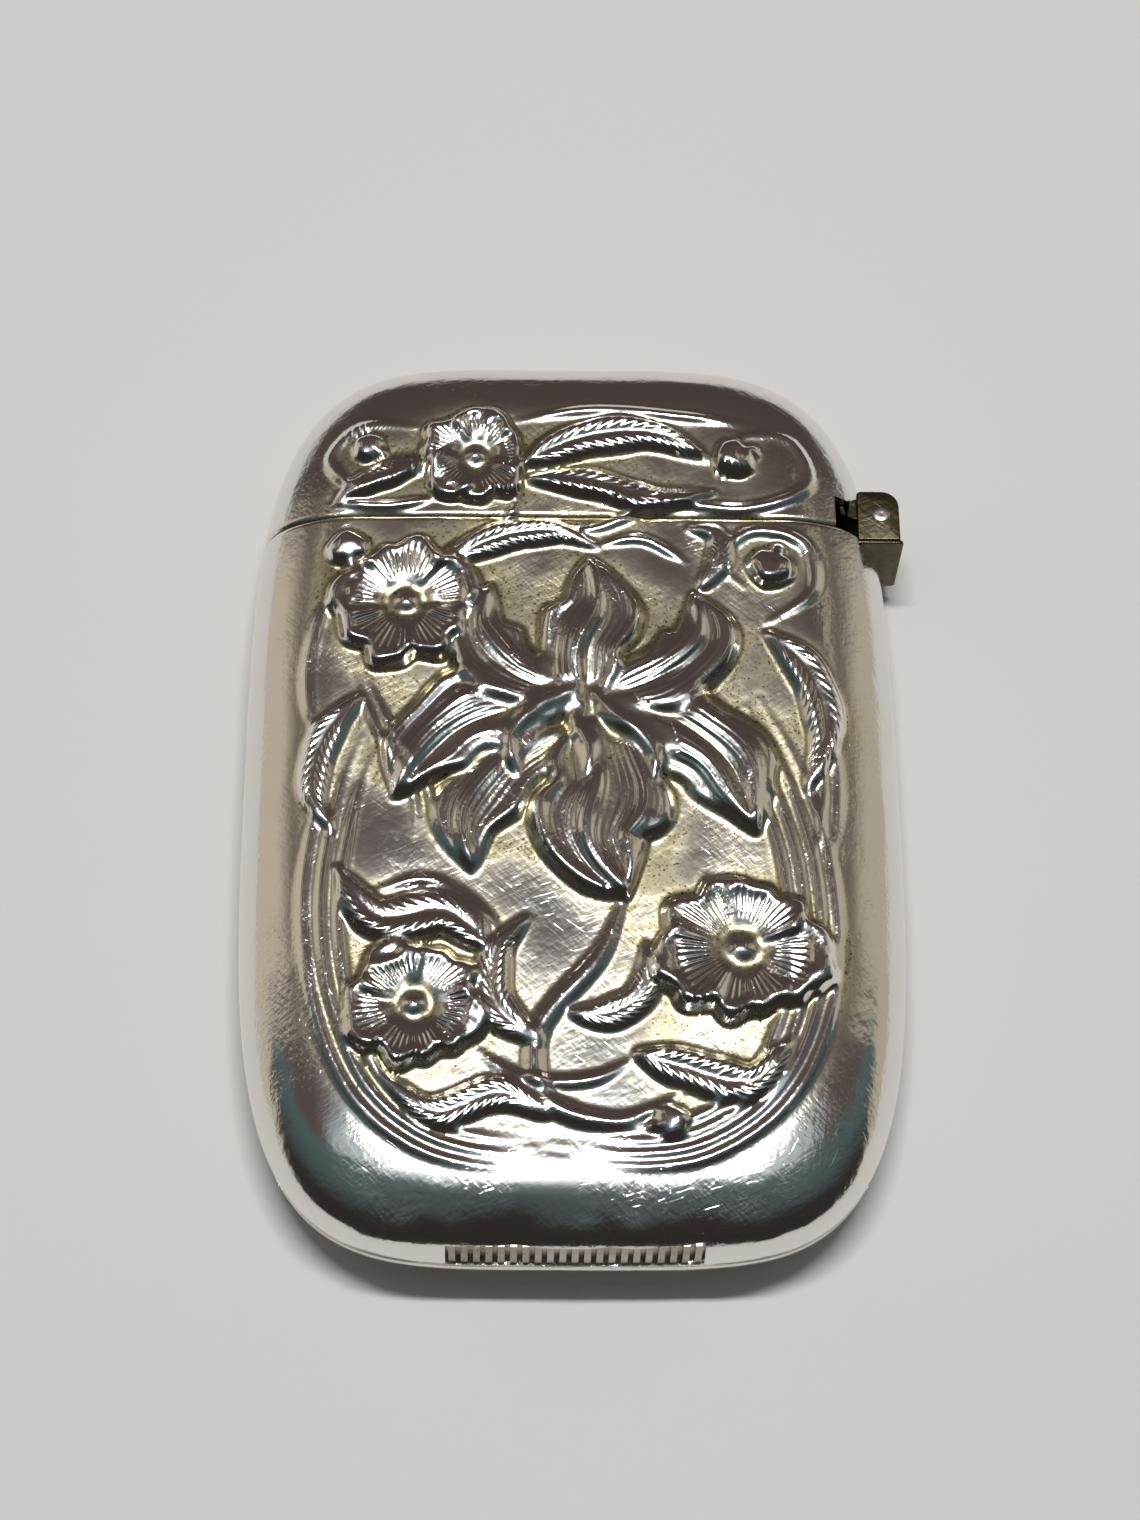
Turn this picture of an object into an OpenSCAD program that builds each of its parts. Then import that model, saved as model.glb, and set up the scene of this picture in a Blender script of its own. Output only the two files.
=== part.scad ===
// Match safe: a pocket case of two struck silver halves, with a lid hinged at one side.
// X points to the hinge side, Y to the lid's end, Z out of the front face.
// The origin is the centre of the flat back, which the case lies on.

/* [Case] */
// Length over both ends
case_l = 64; // [52:0.5:76]
// Width over both sides, without the hinge
case_w = 42.2; // [36:0.2:50]
// Depth of the front half, from the soldered joint to the front face
front_d = 4.6; // [4:0.1:5.6]
// Depth of the back half, from the soldered joint to the flat back
back_d = 4.2; // [3.8:0.1:5.4]
// Thickness of the struck sheet
wall = 0.55; // [0.4:0.05:0.8]
// Squareness of the outline across the width (2 is an ellipse)
side_power = 4.6; // [3.8:0.1:6]
// Squareness of the outline along the length
end_power = 3.55; // [3.2:0.05:5]
// Width of the rounding from the sides to the front face
front_round = 6.2; // [5.2:0.1:7]
// Width of the rounding from the sides to the back
back_round = 5.2; // [4.4:0.1:6.4]
// Squareness of the front's rounding at the foot, round the striker (2 is an ellipse)
foot_power = 3.6; // [2:0.1:5]
// How closely that squareness keeps to the middle of the foot
foot_focus = 6; // [3:0.5:10]

/* [Relief] */
// Height of the blossoms and of the large bloom
relief_h = 0.95; // [0.4:0.05:1.1]
// Height of the leaves
leaf_h = 0.65; // [0.3:0.05:0.9]
// Height of the stems
stem_h = 0.3; // [0.15:0.05:0.45]
// Radius of a full-sized blossom
blossom_r = 4.7; // [3.6:0.1:5.4]
// Number of petals of a blossom
petal_n = 5; // [4:1:8]
// Depth of the notches between a blossom's petals, as a share of its radius
petal_notch = 0.14; // [0:0.01:0.25]
// Half width of the bloom's petals
bloom_w = 2.9; // [2:0.1:3.6]
// Half width of the leaves
leaf_w = 1.4; // [0.9:0.1:2]
// Half width of the stems
stem_w = 0.7; // [0.5:0.05:1]

/* [Lid and mouth] */
// Length of the lid
lid_l = 14.1; // [12:0.1:18]
// Gap between the lid and the body
mouth_gap = 0.08; // [0.04:0.02:0.2]
// How far the collar stands up into the lid
collar_up = 1.8; // [1:0.1:2.4]
// How far the collar goes down into the body
collar_down = 3; // [2:0.1:5]
// Thickness of the collar
collar_t = 0.35; // [0.25:0.05:0.5]
// Clearance round the collar
collar_fit = 0.06; // [0.05:0.01:0.1]

/* [Striker] */
// Width of the striker
striker_w = 15.4; // [11:0.1:18]
// Height of the striker
striker_h = 2.2; // [1.4:0.1:2.6]
// Distance from the soldered joint to the striker
striker_up = 0.5; // [0.3:0.1:0.9]
// Number of ribs
rib_n = 21; // [12:1:26]
// Share of the pitch that a rib takes
rib_share = 0.55; // [0.4:0.05:0.7]
// Depth of the grooves between the ribs
rib_d = 0.35; // [0.2:0.05:0.5]
// Depth of the ribs' tops below the case's surface
rib_sunk = 0.12; // [0.05:0.01:0.3]
// Thickness of the striker's plate behind the wall
striker_t = 0.4; // [0.3:0.05:0.6]
// How far that plate laps behind the wall
striker_lap = 0.8; // [0.5:0.1:1.2]

/* [Hinge] */
// Radius of the hinge pin
pin_r = 0.5; // [0.4:0.05:0.6]
// Height of the pin's axis above the mouth
pin_up = 1.5; // [1.4:0.05:1.8]
// Distance of the pin's axis outside the case's side
pin_out = 0.4; // [0.2:0.05:0.7]
// Width of the bracket through the case's thickness
bracket_w = 5.6; // [4.6:0.1:6.2]
// Thickness of each cheek
cheek_t = 0.5; // [0.35:0.05:0.6]
// Reach of the cheeks beyond the pin
cheek_out = 1.2; // [1.1:0.05:1.5]
// Reach of the cheeks above the pin
cheek_up = 1.8; // [1.5:0.05:2]
// Reach of the cheeks towards the case
cheek_in = 1.6; // [1.4:0.05:1.8]
// Rounding of the cheeks' corners
cheek_r = 0.55; // [0.4:0.05:0.8]
// Thickness of the web below the cheeks
web_t = 0.3; // [0.25:0.05:0.4]
// Distance of the web's top below the pin's axis
web_down = 1.95; // [1.9:0.05:2.2]
// How far the web stands out beyond the cheeks
web_lip = 0.2; // [0.1:0.05:0.3]
// Height of the pin's riveted ends
head_h = 0.12; // [0.05:0.01:0.2]
// Reach of the lid's notch beyond the cheeks
notch_in = 0.9; // [0.7:0.1:1.4]
// Reach of the notch above the pin's axis
notch_up = 1; // [0.8:0.1:1.4]
// Distance of the collar's ends from the pin's axis
collar_off = 5.2; // [5:0.1:8]
// Radius of the lug's barrel
lug_r = 1.3; // [1.2:0.05:1.35]
// Depth of the two flats on the barrel that the spring bears on
flat_d = 0.2; // [0.1:0.02:0.26]
// Angle of the open lid, at which the second flat faces the spring
open_angle = 115; // [95:1:125]
// Width of the lug's arm
arm_w = 2.1; // [1.8:0.1:2.4]
// Distance of the arm's outer edge from the pin's axis
arm_off = 1.1; // [0.9:0.1:1.3]
// How far the arm runs along its flange
arm_lap = 1.2; // [0.8:0.1:2]
// Thickness of the lug's flange inside the lid
flange_t = 0.6; // [0.4:0.05:0.8]
// Length of that flange
flange_l = 4.6; // [3:0.1:6]
// Distance of the flange from the notch
flange_off = 0.1; // [0.05:0.05:0.4]
// Thickness of the leaf spring
spring_t = 0.18; // [0.12:0.02:0.24]
// Length of the folded leaf spring
spring_l = 2; // [1.8:0.05:2.2]
// Distance of the spring's edges inside the lug's
spring_in = 0.3; // [0.1:0.05:0.6]
// Distance of the spring's end inside the cheeks' edge
spring_off = 0.15; // [0.1:0.05:0.3]
// Clearance beside the lug and round the cheeks
side_fit = 0.08; // [0.05:0.01:0.1]
// Radial clearance of the lug on the pin
pin_fit = 0.03; // [0.02:0.01:0.06]

/* [Hidden] */
// Columns and rows of the front face's grid, counted from its middle to its edge
face_cols = 10;
face_rows = 16;
seam_points = 4 * (face_cols + face_rows);
corner_angle = 47;
round_steps = 7;
dome_power = 0.7;
round_fn = 64;
far = 100;
cut_over = 0.2;
solder = 0.03;
case_a = case_w / 2;
case_b = case_l / 2;
case_t = front_d + back_d;
mouth_y = case_b - lid_l;
pin_y = mouth_y + pin_up;
pin_x = side_x(pin_y) + pin_out;
hinge_z = case_t / 2;
lug_w = bracket_w - 2 * cheek_t - 2 * side_fit;
cheek_reach = norm([cheek_in - cheek_r, cheek_up - cheek_r]) + cheek_r;
sweep_r = max(cheek_reach, norm([cheek_in, pin_up])) + side_fit;
flange_y = pin_y + sweep_r + flange_off;
elbow_in = 2.6;
elbow_up = 0.4;
elbow_down = 0.2;
striker_z = back_d + striker_up;
rib_pitch = striker_w / rib_n;

// Places on the front are shares of the flat face's half width and half length
face_a = case_a - front_round;
face_b = case_b - front_round;
// Blossoms, and the two largest buds: place, and size as a share of blossom_r
blossoms = [[-0.72, 0.43, 1], [0.68, -0.51, 1.13], [-0.66, -0.66, 0.92], [-0.43, 0.87, 0.8],
            [0.87, 0.55, 0.42], [0.73, 0.88, 0.4]];
// Petals of the large bloom: base, tip, and width as a share of bloom_w
bloom = [[-0.07, 0.06, -0.43, -0.33, 0.8], [0.1, 0.09, 0.2, -0.39, 1.3], [-0.05, 0.14, -0.77, -0.12, 1],
         [0.13, 0.12, 0.77, -0.22, 1], [-0.01, 0.16, -0.36, 0.5, 0.85], [0.12, 0.16, 0.53, 0.48, 0.85],
         [0.05, 0.14, 0.08, 0.58, 0.95]];
// Leaves: base and tip
leaves = [[-0.34, -0.52, -1, -0.29], [-0.2, -0.76, -0.24, -0.42], [-0.04, -0.68, 0.29, -0.48],
          [0.23, -0.78, 0.9, -0.76], [-0.1, -0.93, -0.79, -0.86], [0.87, 0.36, 0.99, -0.1],
          [-0.93, 0.18, -1.02, -0.22], [-0.23, 0.86, 0.63, 0.88], [-0.21, 0.8, 0.66, 0.77],
          [-0.64, 0.85, -1.06, 0.72], [-0.56, 0.55, 0.13, 0.6]];
// Stems: the points of each bundle
stems = [[[-0.03, -1.02], [-0.51, -1], [-0.87, -0.83], [-1.05, -0.47], [-0.98, -0.08], [-0.79, 0.19]],
         [[-0.15, -0.95], [0.27, -1], [0.71, -0.91], [0.97, -0.62], [0.96, -0.23], [0.78, 0.06],
          [0.58, 0.25]],
         [[0.23, -0.33], [0.11, -0.52], [-0.15, -0.72], [-0.12, -0.91], [0.24, -1]],
         [[-0.8, 0.35], [-0.5, 0.58], [-0.25, 0.7], [0.4, 0.73], [0.85, 0.73], [1.03, 0.82], [0.75, 0.92]]];

function on_face(px, py) = [px * face_a, py * face_b];

// Rounds a form off: field is 1 at its middle and 0 at its edge
function dome(field) = pow(max(0, field), dome_power);

// Blossom seen as a dome with rounded petals: its radius swells and narrows round the middle
function blossom_rise(p, f) = let (
    d = p - on_face(f[0], f[1]),
    r = blossom_r * f[2] * (1 - petal_notch * (1 - cos(petal_n * atan2(d.y, d.x))) / 2))
    relief_h * dome(1 - pow(norm(d) / r, 4));

// Blade from a base to a tip, round across
function blade_rise(p, f, w, h) = let (
    base = on_face(f[0], f[1]),
    axis = on_face(f[2], f[3]) - base,
    d = p - base,
    t = (d * axis) / (axis * axis),
    v = norm(d - t * axis) / w)
    h * dome(1 - pow(2 * t - 1, 4) - v * v);

// Ridge over one straight stretch of a stem
function stem_rise(p, a, b) = let (
    base = on_face(a.x, a.y),
    axis = on_face(b.x, b.y) - base,
    t = min(1, max(0, ((p - base) * axis) / (axis * axis))),
    v = norm(p - base - t * axis) / stem_w)
    stem_h * dome(1 - v * v);

// Height of the struck relief over the face: the highest of the forms that cover the point
function rise(p) = max(concat(
    [for (f = blossoms) blossom_rise(p, f)],
    [for (f = bloom) blade_rise(p, f, bloom_w * f[4], relief_h)],
    [for (f = leaves) blade_rise(p, f, leaf_w, leaf_h)],
    [for (f = stems, i = [1 : len(f) - 1]) stem_rise(p, f[i - 1], f[i])]));

// Half width of the case's outline at a given y
function side_x(y) = case_a * pow(1 - pow(abs(y) / case_b, end_power), 1 / side_power);

// Angle of the outline's point on the right side, at the share v of the corner's height
function side_angle(v) = sign(v) * asin(pow(abs(v) * pow(sin(corner_angle), 2 / end_power), end_power / 2));

// Angle of the point on the upper end, at the share u of the corner's distance from the middle
function end_angle(u) = let (a = acos(pow(abs(u) * pow(cos(corner_angle), 2 / side_power), side_power / 2)))
    u < 0 ? 180 - a : a;

// Angles of all the outline's points, counterclockwise from the lower right corner. They are spaced
// evenly along the sides and the ends, so that the face inside them is a grid of columns and rows.
seam_angles = concat(
    [for (j = [-face_rows : face_rows - 1]) side_angle(j / face_rows)],
    [for (i = [face_cols : -1 : 1 - face_cols]) end_angle(i / face_cols)],
    [for (j = [face_rows : -1 : 1 - face_rows]) 180 - side_angle(j / face_rows)],
    [for (i = [-face_cols : face_cols - 1]) 360 - end_angle(i / face_cols)]);

// Point of the superellipse outline at angle t, moved inwards
function outline_at(t, in) = [
    (case_a - in) * sign(cos(t)) * pow(abs(cos(t)), 2 / side_power),
    (case_b - in) * sign(sin(t)) * pow(abs(sin(t)), 2 / end_power)];

// Power of the rounding's profile at angle t of the outline: an ellipse, squarer at the foot
function profile_power(t) = 2 + (foot_power - 2) * pow(max(0, -sin(t)), foot_focus);

// Ring of the rounded surface at angle q: 0 is the soldered joint, 90 the front face, -90 the back.
// The surface lies inset inside the case's own, so inset = wall is the inner surface.
function ring(inset, q) = let (
    front = q > 0,
    round = (front ? front_round : back_round) - inset,
    depth = (front ? front_d : back_d) - inset)
    [for (t = seam_angles) let (
        share = 2 / (front ? profile_power(t) : 2),
        p = outline_at(t, inset + round * (1 - pow(max(0, cos(q)), share))))
        [p.x, p.y, back_d + depth * sign(q) * pow(abs(sin(q)), share)]];

function rings(inset, q0, q1, n) = [for (k = [0 : n], p = ring(inset, q0 + (q1 - q0) * k / n)) p];

// Two triangles for each step round a band of rings, seen from outside
function bands(n, first, flip) = let (m = seam_points)
    [for (k = [0 : n - 1], j = [0 : m - 1]) let (
        a = first + k * m + j,
        b = first + k * m + (j + 1) % m)
        each flip ? [[a, b, b + m], [a, b + m, a + m]] : [[a, b + m, b], [a, a + m, b + m]]];

function cap(first, flip) = let (m = seam_points)
    [[for (j = [0 : m - 1]) first + (flip ? j : m - 1 - j)]];

// Solid inside the rounded surface, for cutting pieces to the case's curve
module pillow(inset) {
    n = 2 * round_steps;
    polyhedron(rings(inset, -90, 90, n),
        concat(bands(n, 0, false), cap(0, true), cap(n * seam_points, false)));
}

// Front surface with its relief: rings up the rounding, and a grid of columns and rows over the face.
// The relief fades down the rounding, and the inner surface follows it, as in struck sheet.
function front_points(inset) = concat(
    [for (k = [0 : round_steps]) let (q = 90 * k / round_steps)
        for (p = ring(inset, q)) [p.x, p.y, p.z + rise([p.x, p.y]) * pow(sin(q), 2)]],
    let (edge = ring(inset, 90))
        [for (j = [1 - face_rows : face_rows - 1], i = [1 - face_cols : face_cols - 1])
            let (p = face_point(edge, i, j)) [p.x, p.y, p.z + rise([p.x, p.y])]]);

// Place on the edge of the face, counted in points, that column i and row j point to from the middle
function edge_place(i, j) = let (
    s = face_share(i, j),
    m = face_cols + face_rows)
    abs(i) * face_rows >= abs(j) * face_cols
        ? (i > 0 ? j / s + face_rows : 2 * m + face_rows - j / s)
        : (j > 0 ? 2 * face_rows + face_cols - i / s : 4 * face_rows + 3 * face_cols + i / s);

// Share of the way from the middle of the face to its edge
function face_share(i, j) = max(abs(i) / face_cols, abs(j) / face_rows);

// Point of the grid: the edge's point in that direction, drawn in towards the middle
function face_point(edge, i, j) = let (
    s = face_share(i, j),
    place = s > 0 ? edge_place(i, j) : 0,
    k = floor(place),
    a = edge[k % seam_points],
    b = edge[(k + 1) % seam_points],
    p = a + (b - a) * (place - k))
    [s * p.x, s * p.y, p.z];

// Number of the grid's point in the list, where first is the number of the face edge's first point
function face_id(first, i, j) =
    face_share(i, j) == 1 ? first + edge_place(i, j) % seam_points
    : first + seam_points + (j + face_rows - 1) * (2 * face_cols - 1) + i + face_cols - 1;

// Two triangles for each cell, split along the line that runs towards the nearest corner
function face_cells(first, flip) =
    [for (j = [-face_rows : face_rows - 1], i = [-face_cols : face_cols - 1]) let (
        a = face_id(first, i, j),
        b = face_id(first, i + 1, j),
        c = face_id(first, i + 1, j + 1),
        d = face_id(first, i, j + 1),
        rising = (i + 0.5) * (j + 0.5) > 0,
        up = rising ? [[a, c, b], [a, d, c]] : [[a, d, b], [b, d, c]])
        each flip ? [for (f = up) [f[0], f[2], f[1]]] : up];

function rim(inner, flip) = [for (j = [0 : seam_points - 1]) let (k = (j + 1) % seam_points)
    each flip ? [[j, inner + j, inner + k], [j, inner + k, k]]
              : [[j, inner + k, inner + j], [j, k, inner + k]]];

// Struck front half: the outer surface, the inner surface and the rim between them
module front_shell() {
    n = round_steps;
    last = n * seam_points;
    outer = front_points(0);
    inner = len(outer);
    polyhedron(concat(outer, front_points(wall)),
        concat(bands(n, 0, false), face_cells(last, false), bands(n, inner, true),
            face_cells(inner + last, true), rim(inner, false)));
}

// Plain back half, built the same way with flat faces
module back_shell() {
    n = round_steps;
    last = n * seam_points;
    inner = last + seam_points;
    polyhedron(concat(rings(0, 0, -90, n), rings(wall, 0, -90, n)),
        concat(bands(n, 0, true), cap(last, true), bands(n, inner, false), cap(inner + last, false),
            rim(inner, true)));
}

// Everything between two values of y
module slab(y0, y1) {
    translate([-far, y0, -far])
        cube([2 * far, y1 - y0, 2 * far]);
}

// Room that the body takes below the mouth, with the solder's gap, for what is fitted to its side
module case_below_mouth() {
    intersection() {
        pillow(-solder);
        slab(-far, mouth_y);
    }
}

// Space in the end wall for the striker, grown all round
module striker_box(grow) {
    translate([-striker_w / 2 - grow, -case_b - cut_over, striker_z - grow])
        cube([striker_w + 2 * grow, front_round, striker_h + 2 * grow]);
}

// Notch in the lid's side: open in front of the cheeks, and round them where the lid swings past
module hinge_notch() {
    notch_z = bracket_w / 2 + side_fit;
    translate([pin_x - sweep_r - notch_in, pin_y + notch_up - far, -far])
        cube([far, far, 2 * far]);
    translate([pin_x, pin_y, hinge_z - notch_z])
        cylinder(r = sweep_r, h = 2 * notch_z, $fn = round_fn);
}

module body_front() {
    color("silver")
        difference() {
            intersection() {
                front_shell();
                slab(-far, mouth_y);
            }
            striker_box(solder);
        }
}

module body_back() {
    color("silver")
        intersection() {
            back_shell();
            slab(-far, mouth_y);
        }
}

module lid_front() {
    color("silver")
        difference() {
            intersection() {
                front_shell();
                slab(mouth_y + mouth_gap, far);
            }
            hinge_notch();
        }
}

module lid_back() {
    color("silver")
        difference() {
            intersection() {
                back_shell();
                slab(mouth_y + mouth_gap, far);
            }
            hinge_notch();
        }
}

// Thin rim soldered inside the mouth, open at the hinge so that the lid can swing
module mouth_collar() {
    color("gainsboro")
        difference() {
            intersection() {
                pillow(wall + collar_fit);
                slab(mouth_y - collar_down, mouth_y + collar_up);
            }
            pillow(wall + collar_fit + collar_t);
            translate([pin_x - collar_off, -far, -far])
                cube([far, 2 * far, 2 * far]);
        }
}

// Ribbed strip in the end wall, lapped behind the wall all round
module striker_strip() {
    behind = wall + solder;
    color("dimgray")
        difference() {
            union() {
                intersection() {
                    pillow(rib_sunk);
                    for (i = [0 : rib_n - 1])
                        translate([(i - (rib_n - 1) / 2) * rib_pitch, 0, 0])
                            rib_slice();
                }
                intersection() {
                    pillow(rib_sunk + rib_d);
                    striker_box(0);
                }
                intersection() {
                    pillow(behind);
                    striker_box(striker_lap - solder);
                    translate([-far, -far, back_d + solder])
                        cube(2 * far);
                }
            }
            pillow(behind + striker_t);
        }
}

// Space that one rib takes in the striker
module rib_slice() {
    rib_w = rib_pitch * rib_share;
    translate([-rib_w / 2, -case_b - cut_over, striker_z])
        cube([rib_w, front_round, striker_h]);
}

// Side view of a cheek, with the pin's axis at its origin
module cheek_outline() {
    difference() {
        union() {
            translate([-cheek_in, -web_down])
                square([cheek_in + cheek_out, web_down + cheek_up - cheek_r]);
            translate([-cheek_in + cheek_r, cheek_up - 2 * cheek_r])
                square([cheek_in + cheek_out - 2 * cheek_r, 2 * cheek_r]);
            for (x = [-cheek_in + cheek_r, cheek_out - cheek_r])
                translate([x, cheek_up - cheek_r])
                    circle(r = cheek_r, $fn = round_fn);
        }
        circle(r = pin_r, $fn = round_fn);
    }
}

// Bent bracket on the body: two cheeks that hold the pin, and the web that joins them
module hinge_bracket() {
    z0 = hinge_z - bracket_w / 2;
    color("darkgray")
        difference() {
            translate([pin_x, pin_y, 0]) {
                for (z = [z0, hinge_z + bracket_w / 2 - cheek_t])
                    translate([0, 0, z])
                        linear_extrude(cheek_t)
                            cheek_outline();
                translate([-cheek_in, -web_down - web_t, z0])
                    cube([cheek_in + cheek_out + web_lip, web_t, bracket_w]);
            }
            case_below_mouth();
        }
}

// Riveted pin
module hinge_pin() {
    half = bracket_w / 2;
    color("lightgray")
        translate([pin_x, pin_y, hinge_z])
            rotate_extrude($fn = round_fn)
                polygon([[0, -half - head_h], [pin_r - head_h, -half - head_h], [pin_r, -half],
                         [pin_r, half], [pin_r - head_h, half + head_h], [0, half + head_h]]);
}

// Side view of the folded leaf, with the middle of its bend at the origin
module leaf_outline(bend_r) {
    leg = spring_l - bend_r;
    inner_r = bend_r - spring_t;
    difference() {
        union() {
            circle(r = bend_r, $fn = round_fn);
            translate([-leg, -bend_r])
                square([leg, 2 * bend_r]);
        }
        circle(r = inner_r, $fn = round_fn);
        translate([-leg - cut_over, -inner_r])
            square([leg + cut_over, 2 * inner_r]);
    }
}

// Folded leaf between the web and the lug, which snaps the lid shut or open.
// Its lower leg ends at the case's side and its upper one reaches over the mouth.
module hinge_spring() {
    bend_r = (web_down - solder - side_fit - lug_r + flat_d) / 2;
    color("slategray")
        difference() {
            translate([pin_x + cheek_out - spring_off - bend_r, pin_y - web_down + solder + bend_r,
                       hinge_z - lug_w / 2 + spring_in])
                linear_extrude(lug_w - 2 * spring_in)
                    leaf_outline(bend_r);
            case_below_mouth();
        }
}

// Side view of the lug's barrel and arm, with the pin's axis at its origin
module lug_outline() {
    flat = lug_r - flat_d;
    arm_end = flange_y - pin_y + arm_lap;
    difference() {
        union() {
            circle(r = lug_r, $fn = round_fn);
            polygon([[0, lug_r], [-arm_off, arm_end], [-arm_off - arm_w, arm_end],
                     [-elbow_in, elbow_up], [-lug_r, -elbow_down], [0, -elbow_down]]);
        }
        circle(r = pin_r + pin_fit, $fn = round_fn);
        for (a = [-90, open_angle - 90])
            rotate(a)
                translate([flat, -far / 2])
                    square([far, far]);
    }
}

// Lug of the lid: barrel on the pin, arm through the notch, and flange soldered inside the lid
module hinge_lug() {
    z0 = hinge_z - lug_w / 2;
    inside = wall + solder;
    color("darkgray") {
        intersection() {
            translate([pin_x, pin_y, z0])
                linear_extrude(lug_w)
                    lug_outline();
            union() {
                translate([pin_x, pin_y, z0 - cut_over])
                    cylinder(r = sweep_r - side_fit, h = lug_w + 2 * cut_over, $fn = round_fn);
                pillow(inside);
            }
        }
        difference() {
            intersection() {
                pillow(inside);
                translate([0, flange_y, z0])
                    cube([far, flange_l, lug_w]);
            }
            pillow(inside + flange_t);
        }
    }
}

body_front();
body_back();
mouth_collar();
striker_strip();
hinge_bracket();
hinge_pin();
hinge_spring();
lid_front();
lid_back();
hinge_lug();
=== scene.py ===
import bpy
import numpy as np
from functools import reduce
from math import cos, pi, radians, sin
from mathutils import Matrix, Vector


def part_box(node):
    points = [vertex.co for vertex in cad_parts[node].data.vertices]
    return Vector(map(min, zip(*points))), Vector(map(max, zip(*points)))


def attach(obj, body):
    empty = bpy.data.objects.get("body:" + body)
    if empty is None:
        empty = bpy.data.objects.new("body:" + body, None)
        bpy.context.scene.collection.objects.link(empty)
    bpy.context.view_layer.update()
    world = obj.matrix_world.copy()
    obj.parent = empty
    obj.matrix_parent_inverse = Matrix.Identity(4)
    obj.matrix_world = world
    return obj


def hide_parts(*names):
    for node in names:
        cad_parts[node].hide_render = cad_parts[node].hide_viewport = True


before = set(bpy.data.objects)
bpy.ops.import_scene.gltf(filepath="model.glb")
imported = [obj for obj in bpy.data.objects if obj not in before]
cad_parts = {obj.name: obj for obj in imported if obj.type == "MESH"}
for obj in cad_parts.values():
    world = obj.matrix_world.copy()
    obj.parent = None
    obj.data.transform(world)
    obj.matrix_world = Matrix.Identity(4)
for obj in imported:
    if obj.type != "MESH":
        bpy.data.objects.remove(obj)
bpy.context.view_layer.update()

scene = bpy.context.scene
scene.view_settings.view_transform = "Standard"
mm = 0.001
print("frame loaded")

# the case's form, in mm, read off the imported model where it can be
low, high = (np.array(corner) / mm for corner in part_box("body_front"))
lidLow = np.array(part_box("lid_front")[0]) / mm
case = {
    "halfWidth": float(high[0]),
    "halfLength": float(-low[1]),
    "jointZ": float(low[2]),
    "frontDepth": 4.6,  # to the field, without the relief
    "backDepth": float(low[2]),
    "mouthY": float(high[1]),
    "lidY": float(lidLow[1]),
    "wall": 0.55,
    "sidePower": 4.6,
    "endPower": 3.55,
    "frontRound": 6.2,
    "backRound": 5.2,
    "footPower": 3.6,  # at the wall, and near the flat face
    "shoulderPower": 2.4,
    "footFocus": 6,
    "cornerAngle": 47,  # where a row of the grid turns the corner
    "flatRing": 0.75,  # the grid's ring at the rim of the flat face
    "dent": 0.015,  # height of the soft dents in the sheet
    "backShift": 40,  # the back has another part of the dents' pattern
    "footDent": 0.09,  # height, place and width of the wavy crease above the striker
    "footDentY": -31.2,
    "footDentWidth": 0.8,
    "crown": 0.22,  # how much the middle of the front stands over its rim
    "crownX": 16,
    "crownY": 27,
    "backSink": 0.07,  # the back lies flat on the floor, so its dents only go inwards
    "lipWidth": 0.35,  # rounding of the edges at the mouth
    "lipDepth": 0.14,
    "seamWidth": 0.026,  # groove along the soldered joint, as a share of the grid's rings
    "seamDepth": 0.06,
    "coarser": 5,  # steps of the outer grid to one of the inner grid
    "mouthCrowd": 1.15,  # how much closer the rows lie at the mouth
    "bandCrowd": 1.25,  # and the rings of the rounding at the flat face
}
# dents: height, steps of the phase along x and y, and its start
dentWaves = ((1, 0.31, 0.17, 0.4), (1, -0.23, 0.29, 1.9), (0.7, 0.55, 0.43, 3.1), (0.6, 0.62, -0.38, 0.2),
             (0.45, 1.07, -0.21, 2.2), (0.4, 0.33, 1.13, 4.0))
creaseWaves = ((1, 0.52, 0, 0.9), (0.7, 1.13, 0, 2.6), (0.35, 2.3, 0, 0))


def smoothStep(a, b, v):
    t = np.clip((v - a) / (b - a), 0, 1)
    return t * t * (3 - 2 * t)


# 1 after the first ramp and before the second
def between(v, rise, fall):
    return smoothStep(*rise, v) * (1 - smoothStep(*fall, v))


# arch from 1 in the middle down to 0 at its reach on both sides
def arch(v, reach):
    return np.clip(1 - (v / reach) ** 2, 0, 1)


# sum of sine waves that cross the sheet
def crossing(waves, x, y):
    return sum(size * np.sin(a * x + b * y + start) for size, a, b, start in waves)


# points in mm, quads as rows of four numbers, and any other polygons as lists
def addMesh(name, points, quads, polygons=(), smooth=True):
    mesh = bpy.data.meshes.new(name)
    loops = np.concatenate([np.asarray(part, np.int32).ravel() for part in (quads, *polygons)])
    sizes = np.concatenate([np.full(len(quads), 4), [len(part) for part in polygons]]).astype(np.int32)
    starts = np.cumsum(sizes, dtype=np.int32) - sizes
    mesh.vertices.add(len(points))
    mesh.vertices.foreach_set("co", (np.asarray(points, float) * mm).astype(np.float32).ravel())
    mesh.loops.add(len(loops))
    mesh.loops.foreach_set("vertex_index", loops)
    mesh.polygons.add(len(sizes))
    mesh.polygons.foreach_set("loop_start", starts)
    mesh.polygons.foreach_set("use_smooth", np.full(len(sizes), smooth))
    mesh.update(calc_edges=True)
    mesh.validate()
    piece = bpy.data.objects.new(name, mesh)
    scene.collection.objects.link(piece)
    return piece


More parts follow.
